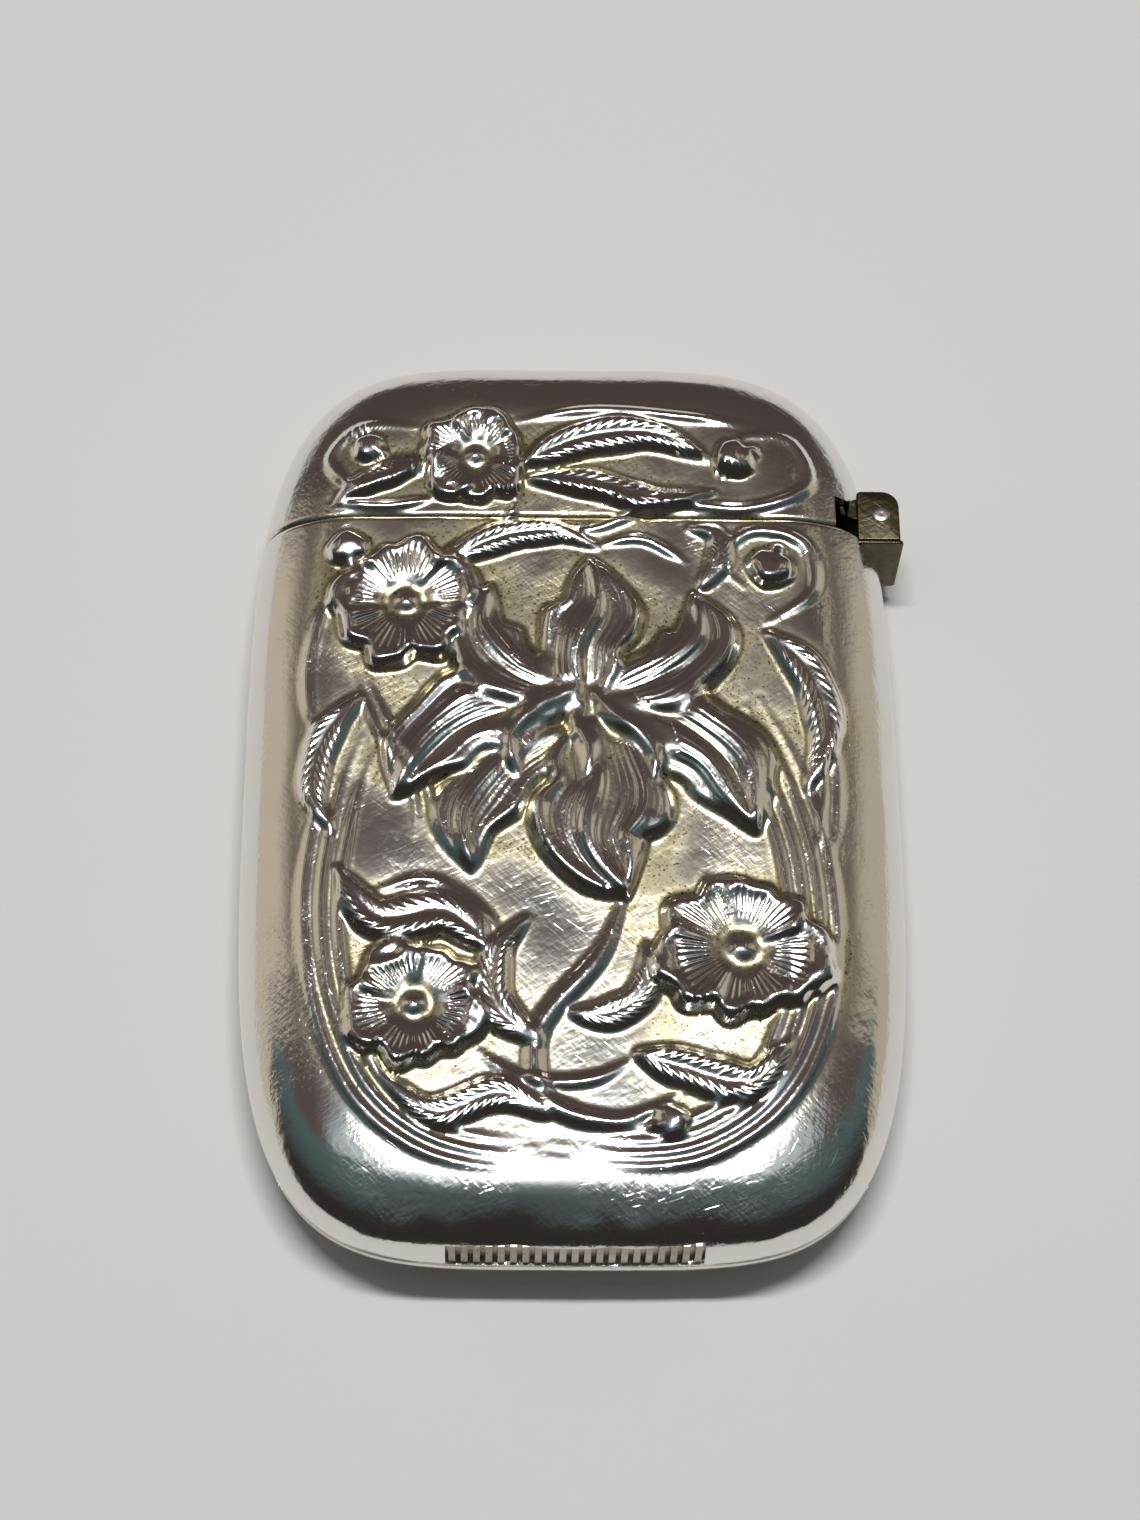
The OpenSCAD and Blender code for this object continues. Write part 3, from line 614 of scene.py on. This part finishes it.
# cuts a shape out of a piece
def cutAway(piece, points, quads, caps):
    cutter = addMesh("cut", points, quads, caps, smooth=False)
    step = piece.modifiers.new("cut", "BOOLEAN")
    step.object = cutter
    step.operation = "DIFFERENCE"
    step.solver = "EXACT"
    bpy.context.view_layer.update()
    mesh = bpy.data.meshes.new_from_object(piece.evaluated_get(bpy.context.evaluated_depsgraph_get()))
    piece.modifiers.clear()
    old = piece.data
    piece.data = mesh
    mesh.name = piece.name
    bpy.data.meshes.remove(old)
    bpy.data.objects.remove(cutter)
    sharpen(piece)


# box between two corners, in mm
def boxShape(low, high):
    corners = ((low[0], low[1]), (high[0], low[1]), (high[0], high[1]), (low[0], high[1]))
    return skin(np.array([[(x, y, z) for x, y in corners] for z in (low[2], high[2])]))


# turned piece: a profile of radius and height carried round an upright axis
def turnedPiece(profile, count, centre):
    profile = np.array(profile, float)
    t = np.linspace(0, 2 * pi, count, endpoint=False)
    rings = np.stack([profile[:, :1] * np.cos(t), profile[:, :1] * np.sin(t),
                      np.broadcast_to(profile[:, 1:], (len(profile), count))], 2)
    return skin(rings + centre)


struckSheet = weatherSheet(drawRelief())
print("relief drawn, highest", round(float(struckSheet["h"].max()), 2), "mm")

striker = {"width": 15.4, "height": 2.2, "up": 0.5, "fit": 0.03}
hinge = {"sweep": 2.273, "notchIn": 0.9, "notchUp": 1.0, "bracketWidth": 5.6, "fit": 0.08}
pinLow, pinHigh = (np.array(corner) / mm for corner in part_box("hinge_pin"))
pinX, pinY, hingeZ = (pinLow + pinHigh) / 2

bodyFront = struckHalf("bodyFront", -1, True, (105, 45), (240, 45), struckSheet)
bodyBack = struckHalf("bodyBack", -1, False, (40, 25), (60, 25))
lidFront = struckHalf("lidFront", 1, True, (105, 45), (50, 45), struckSheet)
lidBack = struckHalf("lidBack", 1, False, (40, 25), (20, 25))
print("shells struck")

# striker's window; the cutters reach well out of the case on their open sides
windowLow = case["jointZ"] + striker["up"]
halfWindow = striker["width"] / 2 + striker["fit"]
cutAway(bodyFront, *boxShape((-halfWindow, -40, windowLow - striker["fit"]),
                             (halfWindow, -27, windowLow + striker["height"] + striker["fit"])))
# room for the lug and the bracket as the lid turns
halfBracket = hinge["bracketWidth"] / 2
halfRoom = halfBracket + hinge["fit"]
notch = boxShape((pinX - hinge["sweep"] - hinge["notchIn"], 0, -5), (40, pinY + hinge["notchUp"], 15))
room = turnedPiece([(hinge["sweep"], -halfRoom), (hinge["sweep"], halfRoom)], 96, (pinX, pinY, hingeZ))
for half in (lidFront, lidBack):
    cutAway(half, *notch)
    cutAway(half, *room)
print("openings cut")


# prism with rounded edges: the outline drawn in along a quarter circle near both ends;
# the outline runs counterclockwise seen from the prism's upper end
def roundedPrism(outline, low, high, bevel, steps=4):
    outline = np.array(outline, float)
    tangent = np.roll(outline, -1, 0) - np.roll(outline, 1, 0)
    inward = np.stack([-tangent[:, 1], tangent[:, 0]], 1) / np.linalg.norm(tangent, axis=1)[:, None]
    t = np.linspace(0, pi / 2, steps + 1)
    inset = bevel * np.concatenate([1 - np.sin(t), (1 - np.sin(t))[::-1]])
    height = np.concatenate([low + bevel * (1 - np.cos(t)), (high - bevel * (1 - np.cos(t)))[::-1]])
    rings = outline[None] + inward[None] * inset[:, None, None]
    return skin(np.concatenate([rings, np.broadcast_to(height[:, None, None], (*rings.shape[:2], 1))], 2))


# case's outside at a place (y, z) on its side: the superellipse, drawn in as the rounding climbs
def sideX(y, z):
    rise = z - case["jointZ"]
    front = rise > 0
    turn = np.where(front, case["frontRound"], case["backRound"])
    share = np.abs(rise) / np.where(front, case["frontDepth"], case["backDepth"])
    move = turn * (1 - np.sqrt(1 - np.clip(share, 0, 1) ** 2))
    reach = 1 - (np.abs(y) / (case["halfLength"] - move)) ** case["endPower"]
    return (case["halfWidth"] - move) * reach ** (1 / case["sidePower"])


def joinShapes(name, shapes):
    points, quads, caps, start = [], [], [], 0
    for p, q, c in shapes:
        points.append(p)
        quads.append(q + start)
        caps += [ring + start for ring in c]
        start += len(p)
    piece = addMesh(name, np.vstack(points), np.vstack(quads), caps)
    sharpen(piece, 50)
    return piece


def arc(cx, cy, r, a, b, count):
    t = np.radians(np.linspace(a, b, count))
    return list(zip(cx + r * np.cos(t), cy + r * np.sin(t)))


bracket = {"cheek": 0.5, "out": 1.2, "up": 1.8, "inward": 1.6, "corner": 1.15, "innerCorner": 0.3,
           "lowCorner": 0.14, "web": 0.3, "webDown": 1.95, "webCorner": 0.3, "lip": 0.2, "bevel": 0.1,
           "lap": 0.25}


def makeBracket():
    b = bracket
    low, left, right, up = -b["webDown"], -b["inward"], b["out"], b["up"]
    r, s, c = b["corner"], b["innerCorner"], b["lowCorner"]
    cheek = [(left, low), *arc(right - c, low + c, c, -90, 0, 5), *arc(right - r, up - r, r, 0, 90, 16),
             *arc(left + s, up - s, s, 90, 180, 6)]
    shapes = [roundedPrism(np.array(cheek) + (pinX, pinY), z, z + b["cheek"], b["bevel"])
              for z in (hingeZ - halfBracket, hingeZ + halfBracket - b["cheek"])]
    # the web's inner edge follows the case's side; it is drawn as (x, z) and then turned to lie below
    top = pinY - b["webDown"]
    z = np.linspace(hingeZ - halfBracket, hingeZ + halfBracket, 25)
    edge = sideX(top, z) - b["lap"]
    r = b["webCorner"]
    outer, rise = pinX + b["out"] + b["lip"] - r, halfBracket - r
    outline = np.vstack([np.stack([edge, z], 1), arc(outer, hingeZ + rise, r, 90, 0, 6),
                         arc(outer, hingeZ - rise, r, 0, -90, 6)])
    points, quads, caps = roundedPrism(outline[::-1], -top, -top + b["web"], b["bevel"])
    shapes.append((np.stack([points[:, 0], -points[:, 2], points[:, 1]], 1), quads, caps))
    return joinShapes("hingeBracket", shapes)


rivet = {"radius": 0.5, "head": 0.58, "dome": 0.12, "dimple": 0.03, "dimpleWidth": 0.16}


def makeRivet():
    t = np.linspace(0, pi / 2, 10)
    dome = np.stack([rivet["head"] * np.cos(t), halfBracket - 0.01 + rivet["dome"] * np.sin(t)], 1)
    dome[:, 1] -= rivet["dimple"] * np.exp(-(dome[:, 0] / rivet["dimpleWidth"]) ** 2)
    # the poles are tiny caps
    dome[-1, 0] = 0.004
    upper = np.vstack([[rivet["radius"], halfBracket - 0.02], dome])
    profile = np.vstack([(upper * (1, -1))[::-1], upper])
    return joinShapes("hingeRivet", [turnedPiece(profile, 64, (pinX, pinY, hingeZ))])


hingeBracket, hingeRivet = makeBracket(), makeRivet()
print("hinge made")


def freshTree(holder):
    holder.use_nodes = True
    holder.node_tree.nodes.clear()
    return holder.node_tree


# a socket's value is a number, a colour or another node's output
def feed(tree, socket, value):
    if isinstance(value, bpy.types.NodeSocket):
        tree.links.new(value, socket)
    else:
        socket.default_value = (*value, 1) if socket.type == "RGBA" else value


def addNode(tree, kind, values={}, **settings):
    node = tree.nodes.new("ShaderNode" + kind)
    for name, setting in settings.items():
        setattr(node, name, setting)
    for key, value in values.items():
        feed(tree, node.inputs[key], value)
    return node


def maths(tree, operation, *values, clamp=False):
    return addNode(tree, "Math", dict(enumerate(values)), operation=operation, use_clamp=clamp).outputs[0]


# the same operation over several values in turn
def chain(tree, operation, *values):
    return reduce(lambda a, b: maths(tree, operation, a, b), values)


# share of the way from a to b, or what it becomes between two other numbers
def ramp(tree, value, a, b, to=(0, 1), kind="LINEAR"):
    values = {"Value": value, "From Min": a, "From Max": b, "To Min": to[0], "To Max": to[1]}
    return addNode(tree, "MapRange", values, interpolation_type=kind).outputs[0]


def blend(tree, factor, a, b):
    return addNode(tree, "Mix", {"Factor": factor, "A": a, "B": b}, data_type="RGBA").outputs["Result"]


def attribute(tree, name):
    return addNode(tree, "Attribute", attribute_name=name).outputs["Fac"]


colorSockets = ("Clean", "Tarnish", "Deep", "Color")


# node group with these sockets, and the two ends inside it
def newGroup(name, inputs, outputs):
    tree = bpy.data.node_groups.new(name, "ShaderNodeTree")
    for direction, sockets in (("INPUT", inputs), ("OUTPUT", outputs)):
        for socket in sockets:
            kind = "NodeSocketColor" if socket in colorSockets else "NodeSocketFloat"
            tree.interface.new_socket(socket, in_out=direction, socket_type=kind)
    return tree, tree.nodes.new("NodeGroupInput").outputs, tree.nodes.new("NodeGroupOutput").inputs


# streaks: turn in degrees, length as a multiple of the width, scale of the noise
wear = {
    "scratches": ((17, 26, 8200), (-38, 30, 7600), (64, 22, 8800)),
    "scratchEdge": (0.64, 0.74),
    "scuffs": ((31, 5, 3700), (-47, 6, 4300), (85, 5, 3500)),
    "cloud": 260,
    "patches": 190,
    "patchEdge": (0.4, 0.64),
    "everywhere": 0.2,  # wear outside the patches
    "pits": 5200,
    "pitEdge": (0.6, 0.68),
    "depth": 0.00001,  # of the bump, in metres
    "roughness": 0.03,  # that the marks add
}


# fine scratches in several directions, scuffed patches and small pits: a height for the bump, masks for
# the roughness and the tarnish, and a cloud that breaks up everything else
def makeWearGroup():
    tree, given, result = newGroup("silverWear", ("Scratches", "Pits", "Scuffs"),
                                   ("Height", "Marks", "Specks", "Cloud"))
    place = addNode(tree, "TexCoord").outputs["Object"]

    def noise(scale, detail, vector=place):
        values = {"Scale": scale, "Detail": detail, "Roughness": 0.6, "Vector": vector}
        return addNode(tree, "TexNoise", values).outputs["Fac"]

    def streaks(turn, stretch, scale):
        values = {"Rotation": (0, 0, radians(turn)), "Scale": (stretch, 1, 1.5), "Vector": place}
        return noise(scale, 2, addNode(tree, "Mapping", values, vector_type="TEXTURE").outputs[0])

    lines = (ramp(tree, streaks(*row), *wear["scratchEdge"]) for row in wear["scratches"])
    scratch = chain(tree, "MAXIMUM", *lines)
    scuff = chain(tree, "ADD", *(streaks(*row) for row in wear["scuffs"]))
    patches = ramp(tree, noise(wear["patches"], 4), *wear["patchEdge"])
    patches = maths(tree, "ADD", patches, wear["everywhere"])
    depth = chain(tree, "MULTIPLY", scratch, patches, given["Scratches"])
    depth = maths(tree, "ADD", depth, chain(tree, "MULTIPLY", scuff, patches, given["Scuffs"]))
    pits = ramp(tree, noise(wear["pits"], 2), *wear["pitEdge"])
    feed(tree, result["Height"], maths(tree, "MULTIPLY", depth, -1))
    feed(tree, result["Marks"], patches)
    feed(tree, result["Specks"], maths(tree, "MULTIPLY", pits, given["Pits"]))
    feed(tree, result["Cloud"], noise(wear["cloud"], 5))
    return tree


tarnish = {"cloudEdge": (0.36, 0.66), "spread": (0.45, 1.25), "deepEdge": (0.8, 1.3)}


# tarnish over a clean colour: the mask is broken up by the cloud, and the darkest part goes brown
def makeTarnishGroup():
    tree, given, result = newGroup("tarnishWash", ("Clean", "Tarnish", "Deep", "Amount", "Cloud", "Specks"),
                                   ("Color", "Mask"))
    spread = ramp(tree, given["Cloud"], *tarnish["cloudEdge"], tarnish["spread"])
    mask = maths(tree, "MULTIPLY", given["Amount"], spread, clamp=True)
    speckled = maths(tree, "MULTIPLY_ADD", mask, given["Specks"], mask)
    tint = blend(tree, mask, given["Clean"], given["Tarnish"])
    feed(tree, result["Color"], blend(tree, ramp(tree, speckled, *tarnish["deepEdge"]), tint, given["Deep"]))
    feed(tree, result["Mask"], mask)
    return tree


wearGroup, tarnishGroup = makeWearGroup(), makeTarnishGroup()

# three colours, roughness where dull and where polished, amount of tarnish, roughness that it adds, strengths
# of the wear, and whether the relief holds tarnish and ribs; first what a metal has unless it says otherwise
usual = {"relief": False, "haze": 0.15, "scratches": 0.2, "pits": 0.3, "scuffs": 0.4}
silverLooks = {
    "struckSilver": {"clean": (0.87, 0.84, 0.82), "tarnish": (0.76, 0.70, 0.47), "deep": (0.13, 0.10, 0.055),
                     "rough": 0.105, "polished": 0.075, "amount": 0.06, "relief": True, "haze": 0.18,
                     "scratches": 0.4, "pits": 0.8, "scuffs": 1.5},
    "plainSilver": {"clean": (0.87, 0.84, 0.82), "tarnish": (0.72, 0.68, 0.54), "deep": (0.3, 0.25, 0.17),
                    "rough": 0.14, "polished": 0.11, "amount": 0.18, "haze": 0.12, "scratches": 0.35,
                    "scuffs": 1.0},
    "hingeMetal": {"clean": (0.13, 0.112, 0.07), "tarnish": (0.06, 0.049, 0.029), "deep": (0.03, 0.026, 0.02),
                   "rough": 0.26, "polished": 0.18, "amount": 0.65, "haze": 0.08, "scratches": 0.5,
                   "pits": 0.6, "scuffs": 1.6},
    "pinMetal": {"clean": (0.74, 0.71, 0.68), "tarnish": (0.42, 0.37, 0.3), "deep": (0.2, 0.17, 0.12),
                 "rough": 0.24, "polished": 0.2, "amount": 0.3},
    "strikerMetal": {"clean": (0.60, 0.56, 0.49), "tarnish": (0.30, 0.26, 0.19), "deep": (0.09, 0.075, 0.05),
                     "rough": 0.3, "polished": 0.24, "amount": 0.55, "scratches": 0.4, "pits": 1.0,
                     "scuffs": 1.2},
    "springSteel": {"clean": (0.40, 0.41, 0.43), "tarnish": (0.2, 0.19, 0.17), "deep": (0.12, 0.08, 0.05),
                    "rough": 0.3, "polished": 0.3, "amount": 0.4},
}


def metalMaterial(name):
    look = usual | silverLooks[name]
    material = bpy.data.materials.new(name)
    t = freshTree(material)
    values = {key: look[key.lower()] for key in ("Scratches", "Pits", "Scuffs")}
    marks = addNode(t, "Group", values, node_tree=wearGroup)
    amount, polish = look["amount"], marks.outputs["Cloud"]
    if look["relief"]:
        amount = maths(t, "ADD", attribute(t, "dull"), amount)
        polish = attribute(t, "high")
    values = {key: look[key.lower()] for key in ("Clean", "Tarnish", "Deep")}
    values |= {key: marks.outputs[key] for key in ("Cloud", "Specks")}
    wash = addNode(t, "Group", values | {"Amount": amount}, node_tree=tarnishGroup)
    rough = ramp(t, polish, 0, 1, (look["rough"], look["polished"]))
    rough = maths(t, "MULTIPLY_ADD", marks.outputs["Marks"], wear["roughness"], rough)
    rough = maths(t, "MULTIPLY_ADD", wash.outputs["Mask"], look["haze"], rough)
    bump = {"Height": marks.outputs["Height"], "Strength": 1, "Distance": wear["depth"]}
    if look["relief"]:
        # fine ribs: the sine of the phase that each vertex holds, as high as its mask says
        ribs = maths(t, "MULTIPLY", maths(t, "SINE", attribute(t, "ribs")), attribute(t, "ribbed"))
        values = {"Height": ribs, "Strength": 1, "Distance": relief["ribHeight"] * mm}
        bump["Normal"] = addNode(t, "Bump", values).outputs[0]
    values = {"Metallic": 1, "Base Color": wash.outputs["Color"], "Roughness": rough,
              "Normal": addNode(t, "Bump", bump).outputs[0]}
    shader = addNode(t, "BsdfPrincipled", values)
    addNode(t, "OutputMaterial", {"Surface": shader.outputs[0]})
    return material


def dress(piece, material):
    piece.data.materials.clear()
    piece.data.materials.append(material)


metals = {name: metalMaterial(name) for name in silverLooks}
for piece, body, node, metal, slot in (
        (bodyFront, "body", "body_front", "struckSilver", "struck_silver"),
        (bodyBack, "body", "body_back", "plainSilver", "plain_silver"),
        (lidFront, "lid", "lid_front", "struckSilver", "struck_silver"),
        (lidBack, "lid", "lid_back", "plainSilver", "plain_silver"),
        (hingeBracket, "body", "hinge_bracket", "hingeMetal", "hinge_metal"),
        (hingeRivet, "body", "hinge_pin", "pinMetal", "pin_metal")):
    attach(piece, body)
    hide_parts(node)
    dress(piece, metals[metal])
for node, metal in (("mouth_collar", "plainSilver"), ("striker_strip", "strikerMetal"),
                    ("hinge_spring", "springSteel"), ("hinge_lug", "hingeMetal")):
    dress(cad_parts[node], metals[metal])
print("metals made")

# floor: a pale sheet just under the case and far larger
floorSheet = {"half": 900, "z": -0.02, "color": (0.74, 0.725, 0.71), "rough": 0.9, "specular": 0.2}
corners = np.array([[-1, -1, 0], [1, -1, 0], [1, 1, 0], [-1, 1, 0]])
floor = addMesh("floor", corners * floorSheet["half"] + [0, 0, floorSheet["z"]], np.array([[0, 1, 2, 3]]))
cloth = bpy.data.materials.new("paleCloth")
t = freshTree(cloth)
shader = addNode(t, "BsdfPrincipled", {"Base Color": floorSheet["color"], "Roughness": floorSheet["rough"],
                                       "Specular IOR Level": floorSheet["specular"]})
addNode(t, "OutputMaterial", {"Surface": shader.outputs[0]})
dress(floor, cloth)

# room: a dim warm dome, darker beyond the lid and glowing round the zenith, pale walls to the left and the
# right, and a dark cool part beyond the foot; the pairs are where a part begins and where it is full
studio = {
    "dome": (0.088, 0.067, 0.062),
    "far": (0.066, 0.05, 0.046),
    "farEdge": (0.5, 0.95),
    "glow": (0.44, 0.51, 0.54),
    "glowEdge": (0.91, 0.985),
    "glowAside": 0.22,  # the glow reaches farther to the sides than towards the lid
    "glowBack": (0.35, 0.05),
    "near": (0.075, 0.115, 0.12),
    "nearDeep": (0.028, 0.024, 0.022),
    "nearAside": 0.24,  # the cool part is where y + nearAside |x| + nearUp z is under nearEdge
    "nearUp": 1.03,
    "nearEdge": 0.955,
    "nearSoft": 0.025,
    "nearEnd": 0.3,
    "wallLeft": (0.52, 0.46, 0.37),
    "wallRight": (0.44, 0.40, 0.32),
    "wallSplit": (-0.1, 0.1),
    "wallEdge": (0.38, 0.43),
    "wallBack": (0.68, 0.58),
    "wallFoot": (-0.14, -0.08),
    "wallLean": -1.1,  # the walls' border towards the foot leans back up to this height
    "wallTop": 0.36,
    "stripEdges": ((0.38, 0.42), (0.5, 0.46)),
    "levels": (0.3, 0.6, 0.85),  # of the walls, and added by the strip and by the outer part
    "paleEdge": (0.55, 0.86),
}
world = bpy.data.worlds.new("room")
scene.world = world
t = freshTree(world)


def part(value, edges):
    return ramp(t, value, *edges, kind="SMOOTHSTEP")


direction = addNode(t, "TexCoord").outputs["Generated"]
roomX, roomY, roomZ = addNode(t, "SeparateXYZ", {0: direction}).outputs
aside = maths(t, "ABSOLUTE", roomX)
tint = blend(t, part(roomY, studio["farEdge"]), studio["dome"], studio["far"])
glow = maths(t, "MULTIPLY", aside, part(roomY, studio["glowBack"]))
glow = maths(t, "MULTIPLY_ADD", glow, studio["glowAside"], roomZ)
tint = blend(t, part(glow, studio["glowEdge"]), tint, studio["glow"])
near = maths(t, "MULTIPLY_ADD", roomZ, studio["nearUp"], roomY)
near = maths(t, "MULTIPLY_ADD", aside, studio["nearAside"], near)
nearEdge, soft = studio["nearEdge"], studio["nearSoft"]
nearTint = blend(t, part(near, (nearEdge, studio["nearEnd"])), studio["near"], studio["nearDeep"])
tint = blend(t, part(near, (nearEdge + soft, nearEdge - soft)), tint, nearTint)
# each wall pales outwards, and has a pale strip along its inner border
foot = maths(t, "MULTIPLY_ADD", maths(t, "MINIMUM", roomZ, studio["wallTop"]), studio["wallLean"], roomY)
wall = chain(t, "MULTIPLY", part(aside, studio["wallEdge"]), part(foot, studio["wallFoot"]),
             part(roomY, studio["wallBack"]))
strip = maths(t, "MULTIPLY", *(part(aside, edges) for edges in studio["stripEdges"]))
base, stripLevel, paleLevel = studio["levels"]
level = maths(t, "MULTIPLY_ADD", strip, stripLevel, base)
level = maths(t, "MULTIPLY_ADD", part(aside, studio["paleEdge"]), paleLevel, level)
wallTint = blend(t, part(roomX, studio["wallSplit"]), studio["wallLeft"], studio["wallRight"])
tint = blend(t, wall, tint, blend(t, level, (0, 0, 0), wallTint))
sky = addNode(t, "Background", {"Color": tint})
addNode(t, "OutputWorld", {"Surface": sky.outputs[0]})

# soft box overhead, which the foot mirrors: place in metres, size (across and along y) and radiance
key = {"at": (0.0, 0.094, 0.895), "size": (0.42, 0.05), "power": 88.0, "color": (1.0, 0.99, 0.97)}
lamp = bpy.data.lights.new("key", "AREA")
lamp.shape = "RECTANGLE"
lamp.size, lamp.size_y = key["size"]
lamp.energy = key["power"] * pi * key["size"][0] * key["size"][1]
lamp.color = key["color"]
holder = bpy.data.objects.new("key", lamp)
scene.collection.objects.link(holder)


# pose from three axes and a place, in metres
def poseOf(across, upward, back, place):
    return Matrix.Translation(place) @ Matrix((across, upward, back)).transposed().to_4x4()


back = Vector(key["at"]).normalized()
across = Vector((0, 1, 0)).cross(back).normalized()
holder.matrix_world = poseOf(across, back.cross(across), back, key["at"])
print("studio lit")

# the camera stands over the foot and looks down at the middle of the case: yaw turns the case, tilt leans the
# view back from straight above, roll turns the picture; focal length and aim in pixels of the picture
camera = {
    "tilt": 27.0,
    "yaw": 3.166,
    "roll": -3.214,
    "distance": 200.82,
    "focal": 3113.02,
    "aimZ": 4.2,
    "aim": (571.74, 792.05),
    "picture": (1140, 1520),
}
width, height = camera["picture"]
lens = bpy.data.cameras.new("camera")
lens.lens = camera["focal"] / height * 36
lens.sensor_width = 36
lens.clip_start, lens.clip_end = 0.01, 20
lens.shift_x = (width / 2 - camera["aim"][0]) / height
lens.shift_y = (camera["aim"][1] - height / 2) / height
eye = bpy.data.objects.new("camera", lens)
scene.collection.objects.link(eye)
scene.camera = eye
tilt, yaw, roll = radians(camera["tilt"]), radians(camera["yaw"]), radians(camera["roll"])
turnBack = Matrix.Rotation(-yaw, 3, "Z")
right, upward, outward = (turnBack @ Vector(v) for v in
                          ((1, 0, 0), (0, cos(tilt), sin(tilt)), (0, -sin(tilt), cos(tilt))))
place = Vector((0, 0, camera["aimZ"] * mm)) + outward * camera["distance"] * mm
eye.matrix_world = poseOf(right * cos(roll) - upward * sin(roll), right * sin(roll) + upward * cos(roll),
                          outward, place)
print("camera set")
